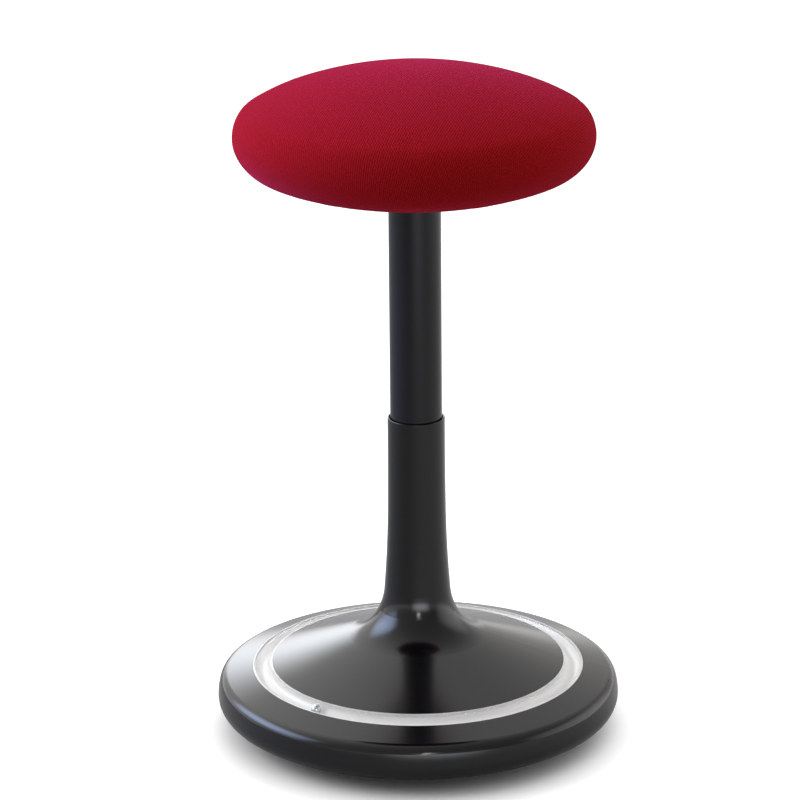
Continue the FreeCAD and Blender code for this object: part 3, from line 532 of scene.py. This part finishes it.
def ramp(tree, factor, low, high, start=0.0, end=1.0, eased=False):
    """Runs from start to end while the factor runs from low to high, and is level beyond them."""
    kind = "SMOOTHSTEP" if eased else "LINEAR"
    node = add_node(tree, "ShaderNodeMapRange", {"interpolation_type": kind}, Value=factor,
                    From_Min=low, From_Max=high, To_Min=start, To_Max=end)
    return node.outputs["Result"]


def mix_colors(tree, factor, first, second):
    node = add_node(tree, "ShaderNodeMix", {"data_type": "RGBA"}, i0=factor, i6=first, i7=second)
    return node.outputs[2]


def mix_numbers(tree, factor, first, second):
    return add_node(tree, "ShaderNodeMix", i0=factor, i2=first, i3=second).outputs[0]


def object_place(tree):
    return add_node(tree, "ShaderNodeTexCoord").outputs["Object"]


def noise(tree, scale, detail, roughness=0.5, output="Fac", **place):
    """Cloudy values from 0 to 1. Without a Vector they are laid on the piece's own box."""
    node = add_node(tree, "ShaderNodeTexNoise", Scale=scale, Detail=detail, Roughness=roughness,
                    **place)
    return node.outputs[output]


def cells(tree, scale):
    """The distance from the middles of small cells."""
    node = add_node(tree, "ShaderNodeTexVoronoi", Vector=object_place(tree), Scale=scale)
    return node.outputs["Distance"]


def shaded(color, share):
    """The colour made darker, or lighter where the share is above 1."""
    return tuple(channel * share for channel in color[:3]) + (1,)


# Effects that several materials share


def new_group(name, inputs, outputs):
    """A shader group with number sockets. inputs holds their defaults, outputs only names."""
    tree = bpy.data.node_groups.new(name, "ShaderNodeTree")
    for label, default in inputs.items():
        socket = tree.interface.new_socket(label, in_out="INPUT", socket_type="NodeSocketFloat")
        socket.default_value = default
    for label in outputs:
        tree.interface.new_socket(label, in_out="OUTPUT", socket_type="NodeSocketFloat")
    entry = tree.nodes.new("NodeGroupInput")
    ending = tree.nodes.new("NodeGroupOutput")
    return tree, entry.outputs, ending


def make_wear_group():
    """Faint handling marks: cloudy changes of gloss and a few fine scratches."""
    scratch_lean = (0.4, 0.9, 0.3)
    scratch_stretch = (40.0, 900.0, 60.0)
    scratch_from, scratch_full = 0.66, 0.74
    tree, given, ending = new_group(
        "handling marks", {"Roughness": 0.3, "Cloud": 0.05, "Scratch": 0.05, "Size": 30.0},
        ["Roughness"])
    place = object_place(tree)
    cloud = noise(tree, given["Size"], detail=4.0, roughness=0.6, Vector=place)
    stretched = add_node(tree, "ShaderNodeMapping", Vector=place, Rotation=scratch_lean,
                         Scale=scratch_stretch).outputs[0]
    streak = noise(tree, 1.0, detail=2.0, Vector=stretched)
    fine = ramp(tree, streak, scratch_from, scratch_full)
    change = math_node(tree, "MULTIPLY", math_node(tree, "SUBTRACT", cloud, 0.5), given["Cloud"])
    scratch = math_node(tree, "MULTIPLY", fine, given["Scratch"])
    cloudy = math_node(tree, "ADD", given["Roughness"], change)
    feed(tree, ending, Roughness=math_node(tree, "ADD", cloudy, scratch))
    return tree


def make_grain_group():
    """The pebbled grain of a moulded surface or a powder coat."""
    pebble_share, noise_share = 0.6, 0.4
    tree, given, ending = new_group("moulded grain", {"Pitch": 0.001}, ["Height"])
    place = object_place(tree)
    scale = math_node(tree, "DIVIDE", 1.0, given["Pitch"])
    pebbles = add_node(tree, "ShaderNodeTexVoronoi", {"feature": "SMOOTH_F1"}, Vector=place,
                       Scale=scale, Smoothness=0.6).outputs["Distance"]
    rough = noise(tree, scale, detail=3.0, Vector=place)
    height = math_node(tree, "ADD", math_node(tree, "MULTIPLY", pebbles, pebble_share),
                       math_node(tree, "MULTIPLY", rough, noise_share))
    feed(tree, ending, Height=height)
    return tree


def make_turned_group():
    """Fine rings round the column's axis, as turning or drawing leaves on metal."""
    tree, given, ending = new_group(
        "turned marks", {"Pitch": 0.0004, "Roughness": 0.3, "Spread": 0.1},
        ["Roughness", "Height"])
    apart = add_node(tree, "ShaderNodeSeparateXYZ", Vector=object_place(tree)).outputs
    squares = [math_node(tree, "POWER", apart[side], 2.0) for side in ("X", "Y")]
    reach = math_node(tree, "SQRT", math_node(tree, "ADD", *squares))
    joined = add_node(tree, "ShaderNodeCombineXYZ", X=reach, Y=apart["Z"]).outputs[0]
    scale = math_node(tree, "DIVIDE", 1.0, given["Pitch"])
    rings = noise(tree, scale, detail=2.0, Vector=joined)
    change = math_node(tree, "MULTIPLY", math_node(tree, "SUBTRACT", rings, 0.5), given["Spread"])
    feed(tree, ending, Roughness=math_node(tree, "ADD", given["Roughness"], change), Height=rings)
    return tree


wear_group = make_wear_group()
grain_group = make_grain_group()
turned_group = make_turned_group()


# Materials, one for each finish on the stool


class Finish:
    """A material with one shader, and short ways to add effects to it."""

    def __init__(self, name, **values):
        self.material = bpy.data.materials.new(name)
        self.material.use_nodes = True
        self.tree = self.material.node_tree
        self.shader = self.tree.nodes["Principled BSDF"]
        self.feed(**values)

    def feed(self, **inputs):
        """Fills the shader's own inputs."""
        feed(self.tree, self.shader, **inputs)

    def add(self, kind, settings=None, **inputs):
        return add_node(self.tree, kind, settings, **inputs)

    def group(self, tree, **inputs):
        """Places one of the shared effects with its own values."""
        placed = self.tree.nodes.new("ShaderNodeGroup")
        placed.node_tree = tree
        feed(self.tree, placed, **inputs)
        return placed.outputs

    def wear(self, roughness, cloud, scratch, size):
        """Handling marks on an even gloss."""
        marks = self.group(wear_group, Roughness=roughness, Cloud=cloud, Scratch=scratch, Size=size)
        self.feed(Roughness=marks["Roughness"])

    def bump(self, height, depth, strength=1.0):
        """Sets the shader's normal from a height that runs from 0 to 1, depth metres deep."""
        bump = self.add("ShaderNodeBump", Height=height, Distance=depth, Strength=strength)
        self.feed(Normal=bump.outputs["Normal"])

    def let_lamps_through(self):
        """Rays from lamps pass the piece, so that they reach what is behind clear plastic."""
        path = self.add("ShaderNodeLightPath").outputs
        clear = self.add("ShaderNodeBsdfTransparent").outputs[0]
        either = self.add("ShaderNodeMixShader", i0=path["Is Shadow Ray"],
                          i1=self.shader.outputs[0], i2=clear).outputs[0]
        feed(self.tree, self.tree.nodes["Material Output"], Surface=either)


def gloss_black(name):
    finish = Finish(name, Base_Color=(0.0011, 0.0011, 0.0013, 1), IOR=1.5, Specular_IOR_Level=0.45)
    finish.wear(roughness=0.17, cloud=0.03, scratch=0.02, size=9.0)
    ripple = noise(finish.tree, 14.0, detail=1.0, Vector=object_place(finish.tree))
    finish.bump(ripple, depth=0.00006, strength=0.5)
    return finish.material


def satin_paint(name, color, roughness, grain):
    finish = Finish(name, Base_Color=color, IOR=1.5, Specular_IOR_Level=0.35)
    finish.wear(roughness, cloud=0.06, scratch=0.05, size=25.0)
    pebbles = finish.group(grain_group, Pitch=grain)["Height"]
    finish.bump(pebbles, depth=grain * 0.02, strength=0.6)
    return finish.material


def moulded_plastic(name, color, roughness, grain, relief=0.08):
    """relief is the grain's depth as a share of its pitch."""
    finish = Finish(name, IOR=1.48)
    finish.wear(roughness, cloud=0.08, scratch=0.04, size=40.0)
    pebbles = finish.group(grain_group, Pitch=grain)["Height"]
    # Painted shade: the colour is darker in the grain's hollows, where the pebbles are low, than on
    # their tops.
    finish.feed(Base_Color=mix_colors(finish.tree, pebbles, shaded(color, 0.86), color))
    finish.bump(pebbles, depth=grain * relief)
    return finish.material


def milky_plastic(name, color, roughness):
    """White plastic that light soaks into, so that a groove in it stays bright."""
    finish = Finish(name, IOR=1.48, Subsurface_Weight=0.7, Subsurface_Scale=0.012,
                    Subsurface_Radius=(1.0, 1.0, 1.0))
    finish.wear(roughness, cloud=0.06, scratch=0.04, size=40.0)
    cloud = noise(finish.tree, 30.0, detail=3.0)
    finish.feed(Base_Color=mix_colors(finish.tree, cloud, shaded(color, 0.985), color))
    return finish.material


def rubber(name, color):
    """Rubber with a film of pale dust."""
    finish = Finish(name, IOR=1.5)
    dust = noise(finish.tree, 60.0, detail=6.0, roughness=0.65)
    dusty = ramp(finish.tree, dust, 0.5, 0.8)
    finish.feed(Base_Color=mix_colors(finish.tree, dusty, color, shaded(color, 2.6)),
                Roughness=ramp(finish.tree, dust, 0.3, 0.7, start=0.55, end=0.8))
    finish.bump(finish.group(grain_group, Pitch=0.0007)["Height"], depth=0.0001)
    return finish.material


def bare_metal(name, color, roughness, pitch, spread):
    finish = Finish(name, Base_Color=color, Metallic=1.0)
    turned = finish.group(turned_group, Pitch=pitch, Roughness=roughness, Spread=spread)
    finish.feed(Roughness=turned["Roughness"])
    finish.bump(turned["Height"], depth=pitch * 0.02)
    return finish.material


def zinc_plate(name):
    bright_zinc, dull_zinc = (0.62, 0.63, 0.66, 1), (0.50, 0.52, 0.53, 1)
    finish = Finish(name, Metallic=1.0)
    spangle = cells(finish.tree, 260.0)
    cloud = noise(finish.tree, 70.0, detail=3.0, Vector=object_place(finish.tree))
    dull = ramp(finish.tree, math_node(finish.tree, "MULTIPLY", spangle, cloud), 0.0, 0.4)
    finish.feed(Base_Color=mix_colors(finish.tree, dull, bright_zinc, dull_zinc),
                Roughness=ramp(finish.tree, cloud, 0.3, 0.7, start=0.26, end=0.42))
    finish.bump(spangle, depth=0.00002)
    return finish.material


def cast_metal(name, color, metallic, roughness, pitch):
    finish = Finish(name, Metallic=metallic)
    pebbles = finish.group(grain_group, Pitch=pitch)["Height"]
    cloud = noise(finish.tree, 45.0, detail=5.0)
    dulled = ramp(finish.tree, pebbles, 0.2, 0.7, start=roughness, end=roughness + 0.15)
    finish.feed(Base_Color=mix_colors(finish.tree, cloud, shaded(color, 0.7), color),
                Roughness=dulled)
    finish.bump(pebbles, depth=pitch * 0.12)
    return finish.material


def chrome(name, roughness):
    finish = Finish(name, Base_Color=(0.60, 0.61, 0.63, 1), Metallic=1.0)
    finish.wear(roughness, cloud=0.03, scratch=0.06, size=120.0)
    return finish.material


def clear_cover(name):
    """Thin clear plastic, with a low index so that the track is seen where it is."""
    finish = Finish(name, Base_Color=(0.99, 0.993, 0.995, 1), IOR=1.12, Transmission_Weight=1.0,
                    Alpha=0.06)
    finish.wear(roughness=0.02, cloud=0.02, scratch=0.02, size=60.0)
    finish.let_lamps_through()
    return finish.material


def plywood(name):
    dark_wood, pale_wood = (0.50, 0.33, 0.17, 1), (0.70, 0.52, 0.31, 1)
    finish = Finish(name, IOR=1.45)
    stretched = finish.add("ShaderNodeMapping", Vector=object_place(finish.tree),
                           Scale=(6.0, 90.0, 220.0)).outputs[0]
    grain = noise(finish.tree, 1.0, detail=6.0, Vector=stretched)
    pale = ramp(finish.tree, grain, 0.3, 0.7)
    finish.feed(Base_Color=mix_colors(finish.tree, pale, dark_wood, pale_wood),
                Roughness=ramp(finish.tree, grain, 0.3, 0.7, start=0.5, end=0.7))
    finish.bump(grain, depth=0.0002)
    return finish.material


def open_foam(name):
    deep_foam, pale_foam = (0.62, 0.57, 0.42, 1), (0.78, 0.74, 0.6, 1)
    finish = Finish(name, Roughness=0.95)
    pores = cells(finish.tree, 900.0)
    finish.feed(Base_Color=mix_colors(finish.tree, pores, deep_foam, pale_foam))
    finish.bump(pores, depth=0.0006)
    return finish.material


# Knit of the seat, as it lies on the flat cloth. The shares say what makes up its height, and the
# tones how the fleck of the wool and the height make it brighter, from tone_low to tone_high. The
# fleck is the wool's own tone; the height's part is painted shade, darker in the grooves and
# lighter on the ridges.
rib_pitch = 0.0023
rib_slope = 2.6
thread_pitch = 0.0007
thread_waver = 0.0005
waver_scale = 60.0
rib_share, crossing_share, thread_share = 0.5, 0.28, 0.22
knit_depth = 0.00035
fleck_scale = 520.0
fleck_tone, groove_shade_tone = 0.9, 0.6
tone_low, tone_high = 0.48, 1.0
deep_crimson, bright_crimson = (0.18, 0.0032, 0.0036, 1), (0.39, 0.0098, 0.0112, 1)
fibre_bloom = (1.0, 0.09, 0.22, 1)


def crimson_knit(name):
    """Wool-like cloth: two runs of slanting ribs that cross, fine threads, and a bloom of fibre."""
    finish = Finish(name, IOR=1.4, Specular_IOR_Level=0.0, Sheen_Weight=0.36, Sheen_Roughness=0.40,
                    Sheen_Tint=fibre_bloom)
    tree = finish.tree
    flat = finish.add("ShaderNodeAttribute", {"attribute_name": "flat_cloth"}).outputs["Vector"]
    wobble = noise(tree, waver_scale, detail=1.0, output="Color", Vector=flat)
    shift = vector_node(tree, "SCALE", i0=wobble, Scale=thread_waver)
    bent = vector_node(tree, "ADD", i0=flat, i1=shift)
    apart = finish.add("ShaderNodeSeparateXYZ", Vector=bent).outputs
    across, along = apart["X"], apart["Y"]
    steep = math_node(tree, "MULTIPLY", across, rib_slope)
    spacing = rib_pitch * math.hypot(1.0, rib_slope)
    rib = ridges(tree, math_node(tree, "SUBTRACT", steep, along), spacing)
    crossing = ridges(tree, math_node(tree, "ADD", steep, along), spacing)
    threads = math_node(tree, "MULTIPLY", ridges(tree, across, thread_pitch),
                        ridges(tree, along, thread_pitch))
    height = math_node(tree, "MULTIPLY", rib, rib_share)
    height = math_node(tree, "MULTIPLY_ADD", crossing, crossing_share, height)
    height = math_node(tree, "MULTIPLY_ADD", threads, thread_share, height)
    fleck = noise(tree, fleck_scale, detail=3.0, roughness=0.7, Vector=flat)
    # Painted shade: the colour is darker in the knit's grooves, where the height is low, and
    # lighter on its ridges.
    tone = math_node(tree, "MULTIPLY", height, groove_shade_tone)
    tone = math_node(tree, "MULTIPLY_ADD", fleck, fleck_tone, tone)
    bright = ramp(tree, tone, tone_low, tone_high)
    finish.feed(Base_Color=mix_colors(tree, bright, deep_crimson, bright_crimson),
                Roughness=ramp(tree, height, 0.0, 1.0, start=0.95, end=0.8))
    finish.bump(height, knit_depth)
    return finish.material


def ridges(tree, place, pitch):
    """A smooth ridge for each pitch, from 0 in the groove to 1 on the ridge."""
    turns = math_node(tree, "MULTIPLY", place, 2 * math.pi / pitch)
    return math_node(tree, "MULTIPLY_ADD", math_node(tree, "SINE", turns), 0.5, 0.5)


finishes = {
    "sole_rubber": rubber("rocker sole rubber", (0.012, 0.012, 0.013, 1)),
    "buffer_rubber": rubber("buffer rubber", (0.02, 0.02, 0.02, 1)),
    "seal_rubber": rubber("seal rubber", (0.015, 0.015, 0.015, 1)),
    "pan_steel": zinc_plate("zinc plated pan"),
    "hub_steel": bare_metal("machined hub steel", (0.55, 0.56, 0.58, 1),
                            roughness=0.32, pitch=0.0006, spread=0.2),
    "screw_steel": zinc_plate("zinc plated fasteners"),
    "ballast_iron": cast_metal("primed cast iron", (0.05, 0.05, 0.055, 1),
                               metallic=0.0, roughness=0.6, pitch=0.0018),
    "base_gloss": gloss_black("gloss black moulding"),
    "track_white": milky_plastic("white track", (0.93, 0.925, 0.915, 1), roughness=0.3),
    "track_clear": clear_cover("clear track cover"),
    "ball_chrome": chrome("ball chrome", roughness=0.04),
    "guide_plastic": moulded_plastic("ivory guide plastic", (0.80, 0.77, 0.68, 1),
                                     roughness=0.45, grain=0.0008),
    "washer_steel": bare_metal("ground washer steel", (0.66, 0.66, 0.68, 1),
                               roughness=0.25, pitch=0.0004, spread=0.15),
    "rod_chrome": chrome("hard chrome rod", roughness=0.1),
    "clip_steel": bare_metal("black spring steel", (0.06, 0.06, 0.065, 1),
                             roughness=0.4, pitch=0.0005, spread=0.1),
    "piston_alloy": bare_metal("turned alloy", (0.78, 0.79, 0.80, 1),
                               roughness=0.28, pitch=0.0005, spread=0.15),
    "column_paint": satin_paint("anthracite column", (0.0045, 0.0047, 0.006, 1),
                                roughness=0.22, grain=0.0009),
    "cylinder_paint": satin_paint("black cylinder paint", (0.01, 0.01, 0.011, 1),
                                  roughness=0.25, grain=0.0012),
    "hub_alloy": cast_metal("blasted die casting", (0.60, 0.61, 0.62, 1),
                            metallic=1.0, roughness=0.42, pitch=0.0009),
    "board_wood": plywood("bare plywood"),
    "foam": open_foam("seat foam"),
    "seat_fabric": crimson_knit("crimson knit"),
    "under_plastic": moulded_plastic("grained black cover", (0.018, 0.018, 0.02, 1),
                                     roughness=0.5, grain=0.0011, relief=0.12),
    "paddle_plastic": moulded_plastic("lever grip plastic", (0.016, 0.016, 0.017, 1),
                                      roughness=0.38, grain=0.0007),
}


def finish_frame():
    """Gives each node of the frame the material of its slot."""
    for entry in record["subparts"]:
        mesh = parts[entry["node"]].data
        mesh.materials.clear()
        mesh.materials.append(finishes[entry["material_slot"]])


# Studio. The floor and the world are white to the camera. For the light that they give and for
# reflections they have levels of their own.

floor_size = 30.0
floor_seen = (0.98, 0.98, 0.98, 1)
floor_bounce = (0.52, 0.52, 0.52, 1)
# What gloss mirrors of the floor is painted shade and light: darker on the left and lighter on the
# right, changing from -mirrored_reach to mirrored_reach across the middle.
mirrored_floor_shade_left = (0.36, 0.36, 0.37, 1)
mirrored_floor_light_right = (0.68, 0.68, 0.69, 1)
mirrored_reach = 0.5

# The floor's own glow, which keeps the shadow close round the base
shadow_middle = (-0.008, -0.026, 0.0)
white_near = 0.165
white_far = 0.225
white_lift = 0.42

# The surround's light: its level, and what is added overhead and behind the stool
sky_level = 0.42
sky_overhead = 0.80
sky_behind = 0.26

# What gloss mirrors of the surround: a level that changes to the back and the right, a bright
# horizon, and a glow up at the back left
shine_level = 0.66
shine_behind = 0.24
shine_right = -0.16
horizon_shine = 0.8
horizon_reach = 0.2
glow_direction = (-0.4545, 0.5417, 0.7071)
glow_narrowness = 4.0
shine_color = (1.0, 0.985, 0.965, 1)

# Lamps: how far from the aim they stand, and their watts for each square metre and brightness
lamp_distance = 2.8
lamp_aim = Vector((0, 0, 0.15))
lamp_watts = 4.0

black, white = (0, 0, 0, 1), (1, 1, 1, 1)


def direct_view(tree, path):
    """1 where the camera looks at something, straight or through the clear cover, and else 0."""
    return math_node(tree, "MAXIMUM", path["Is Camera Ray"], path["Is Transmission Ray"])


def make_floor():
    """A white floor that throws only some of its light back up, and keeps the stool's shadow."""
    bpy.ops.mesh.primitive_plane_add(size=floor_size)
    floor = bpy.context.object
    floor.name = "floor"
    finish = Finish("white floor", Roughness=0.7, Specular_IOR_Level=0.1, Emission_Strength=1.0)
    tree = finish.tree
    path = finish.add("ShaderNodeLightPath").outputs
    seen = direct_view(tree, path)
    place = object_place(tree)
    sideways = finish.add("ShaderNodeSeparateXYZ", Vector=place).outputs["X"]
    # Painted shade and light in reflections: the mirrored floor runs from darker on the left to
    # lighter on the right.
    mirrored = mix_colors(tree, ramp(tree, sideways, -mirrored_reach, mirrored_reach),
                          mirrored_floor_shade_left, mirrored_floor_light_right)
    bright = mix_colors(tree, path["Is Glossy Ray"], floor_bounce, mirrored)
    bright = mix_colors(tree, seen, bright, floor_seen)
    shift = vector_node(tree, "SUBTRACT", i0=place, i1=shadow_middle)
    away = vector_node(tree, "LENGTH", output="Value", i0=shift)
    lift = ramp(tree, away, white_near, white_far, end=white_lift, eased=True)
    lift = math_node(tree, "MULTIPLY", lift, seen)
    finish.feed(Base_Color=bright, Emission_Color=mix_colors(tree, lift, black, white))
    floor.data.materials.append(finish.material)


def make_world():
    """A soft surround: brighter from above and behind, with a bright horizon in reflections."""
    world = bpy.data.worlds.new("studio")
    bpy.context.scene.world = world
    world.use_nodes = True
    tree = world.node_tree
    path = add_node(tree, "ShaderNodeLightPath").outputs
    place = add_node(tree, "ShaderNodeTexCoord").outputs["Generated"]
    apart = add_node(tree, "ShaderNodeSeparateXYZ", Vector=place).outputs
    overhead = math_node(tree, "POWER", math_node(tree, "MAXIMUM", apart["Z"], 0.0), 2.0)
    light = math_node(tree, "MULTIPLY_ADD", overhead, sky_overhead, sky_level)
    light = math_node(tree, "MULTIPLY_ADD", apart["Y"], sky_behind, light)
    shine = math_node(tree, "MULTIPLY_ADD", apart["Y"], shine_behind, shine_level)
    shine = math_node(tree, "MULTIPLY_ADD", apart["X"], shine_right, shine)
    horizon = ramp(tree, math_node(tree, "ABSOLUTE", apart["Z"]), 0.0, horizon_reach,
                   start=horizon_shine, end=0.0, eased=True)
    shine = math_node(tree, "ADD", shine, horizon)
    toward = vector_node(tree, "DOT_PRODUCT", output="Value", i0=place, i1=glow_direction)
    glow = math_node(tree, "POWER", math_node(tree, "MAXIMUM", toward, 0.0), glow_narrowness)
    shine = math_node(tree, "ADD", shine, glow)
    strength = mix_numbers(tree, path["Is Glossy Ray"], light, shine)
    feed(tree, tree.nodes["Background"],
         Color=mix_colors(tree, path["Is Glossy Ray"], white, shine_color),
         Strength=mix_numbers(tree, direct_view(tree, path), strength, 1.0))


def softbox(name, turn, rise, half_turn, half_rise, brightness, color, use="all"):
    """A lamp with soft edges, by its direction from the stool: turn is 0 in front, 90 to the right.

    use is "gloss" for a lamp that only reflections show. "pieces" and "white" are light without
    reflections: the one leaves out the floor and the white track, which would take its colour,
    and the other lights nothing but them.
    """
    away = Vector((sine(turn) * cosine(rise), -cosine(turn) * cosine(rise), sine(rise)))
    lamp = bpy.data.lights.new(name, "AREA")
    lamp.shape = "RECTANGLE"
    lamp.size = 2 * lamp_distance * math.tan(math.radians(half_turn))
    lamp.size_y = 2 * lamp_distance * math.tan(math.radians(half_rise))
    lamp.energy = lamp_watts * lamp.size * lamp.size_y * brightness
    lamp.color = color
    lamp.use_nodes = True
    soften_edges(lamp.node_tree)
    stand = bpy.data.objects.new(name, lamp)
    bpy.context.scene.collection.objects.link(stand)
    stand.location = lamp_aim + away * lamp_distance
    stand.rotation_euler = away.to_track_quat("Z", "Y").to_euler()
    stand.visible_camera = False
    stand.visible_diffuse = use != "gloss"
    stand.visible_glossy = use in ("all", "gloss")
    stand.visible_transmission = use == "all"
    if use in ("pieces", "white"):
        link_white_things(stand, "EXCLUDE" if use == "pieces" else "INCLUDE")


def soften_edges(tree):
    """Full strength in the lamp's middle, and none at its edges."""
    spot = add_node(tree, "ShaderNodeTexCoord").outputs["UV"]
    apart = add_node(tree, "ShaderNodeSeparateXYZ", Vector=spot).outputs
    strength = 1.0
    for side in ("X", "Y"):
        other = math_node(tree, "SUBTRACT", 1.0, apart[side])
        hump = math_node(tree, "MULTIPLY", math_node(tree, "MULTIPLY", apart[side], other), 4.0)
        strength = math_node(tree, "MULTIPLY", strength, hump)
    feed(tree, tree.nodes["Emission"], Strength=strength)


def link_white_things(stand, state):
    """Leaves the floor and the white track out of a lamp's light, or lights only these two."""
    chosen = bpy.data.collections.new(stand.name + " linking")
    stand.light_linking.receiver_collection = chosen
    for piece in (bpy.data.objects["floor"], parts["track_channel"]):
        chosen.objects.link(piece)
    for entry in chosen.collection_objects:
        entry.light_linking.link_state = state


def make_lamps():
    softbox("left gloss", turn=-98.0, rise=25.0, half_turn=34.0, half_rise=19.0,
            brightness=6.4, color=(0.52, 0.66, 1.0), use="gloss")
    softbox("left blue", turn=-98.0, rise=30.0, half_turn=36.0, half_rise=20.0,
            brightness=15.5, color=(0.34, 0.42, 1.0), use="pieces")
    softbox("left white", turn=-98.0, rise=30.0, half_turn=36.0, half_rise=20.0,
            brightness=3.0, color=(1.0, 1.0, 1.0), use="white")
    softbox("back left strip", turn=-166.0, rise=15.0, half_turn=11.0, half_rise=16.0,
            brightness=3.2, color=(0.88, 0.93, 1.0), use="gloss")
    softbox("right fill", turn=100.0, rise=14.0, half_turn=40.0, half_rise=22.0,
            brightness=1.1, color=(1.0, 0.99, 0.98))
    softbox("front panel", turn=10.0, rise=4.0, half_turn=30.0, half_rise=8.0,
            brightness=3.8, color=(0.86, 0.92, 1.0), use="gloss")
    softbox("front spark", turn=3.0, rise=17.0, half_turn=4.5, half_rise=3.5,
            brightness=14.0, color=(1.0, 1.0, 1.0), use="gloss")


def make_camera():
    eye = bpy.data.cameras.new("camera")
    eye.sensor_width = sensor_width
    eye.lens = focal_pixels / image_size * sensor_width
    eye.clip_end = 50.0
    camera = bpy.data.objects.new("camera", eye)
    bpy.context.scene.collection.objects.link(camera)
    camera.location = (camera_side, -camera_distance * cosine(camera_pitch),
                       aim_height + camera_distance * sine(camera_pitch))
    tilt = Matrix.Rotation(math.radians(90 - camera_pitch), 3, "X")
    roll = Matrix.Rotation(math.radians(camera_roll), 3, "Z")
    camera.rotation_euler = (tilt @ roll).to_euler()
    bpy.context.scene.camera = camera


bpy.context.scene.view_settings.view_transform = "Standard"
make_camera()
make_world()
make_floor()
make_lamps()
finish_frame()

cushion = make_cushion()
cushion.data.materials.append(finishes["seat_fabric"])
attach(cushion, "seat")
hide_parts("seat_cover", "seat_foam")

cover = make_track_cover()
cover.data.materials.append(finishes["track_clear"])
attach(cover, "base")
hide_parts("track_cover")
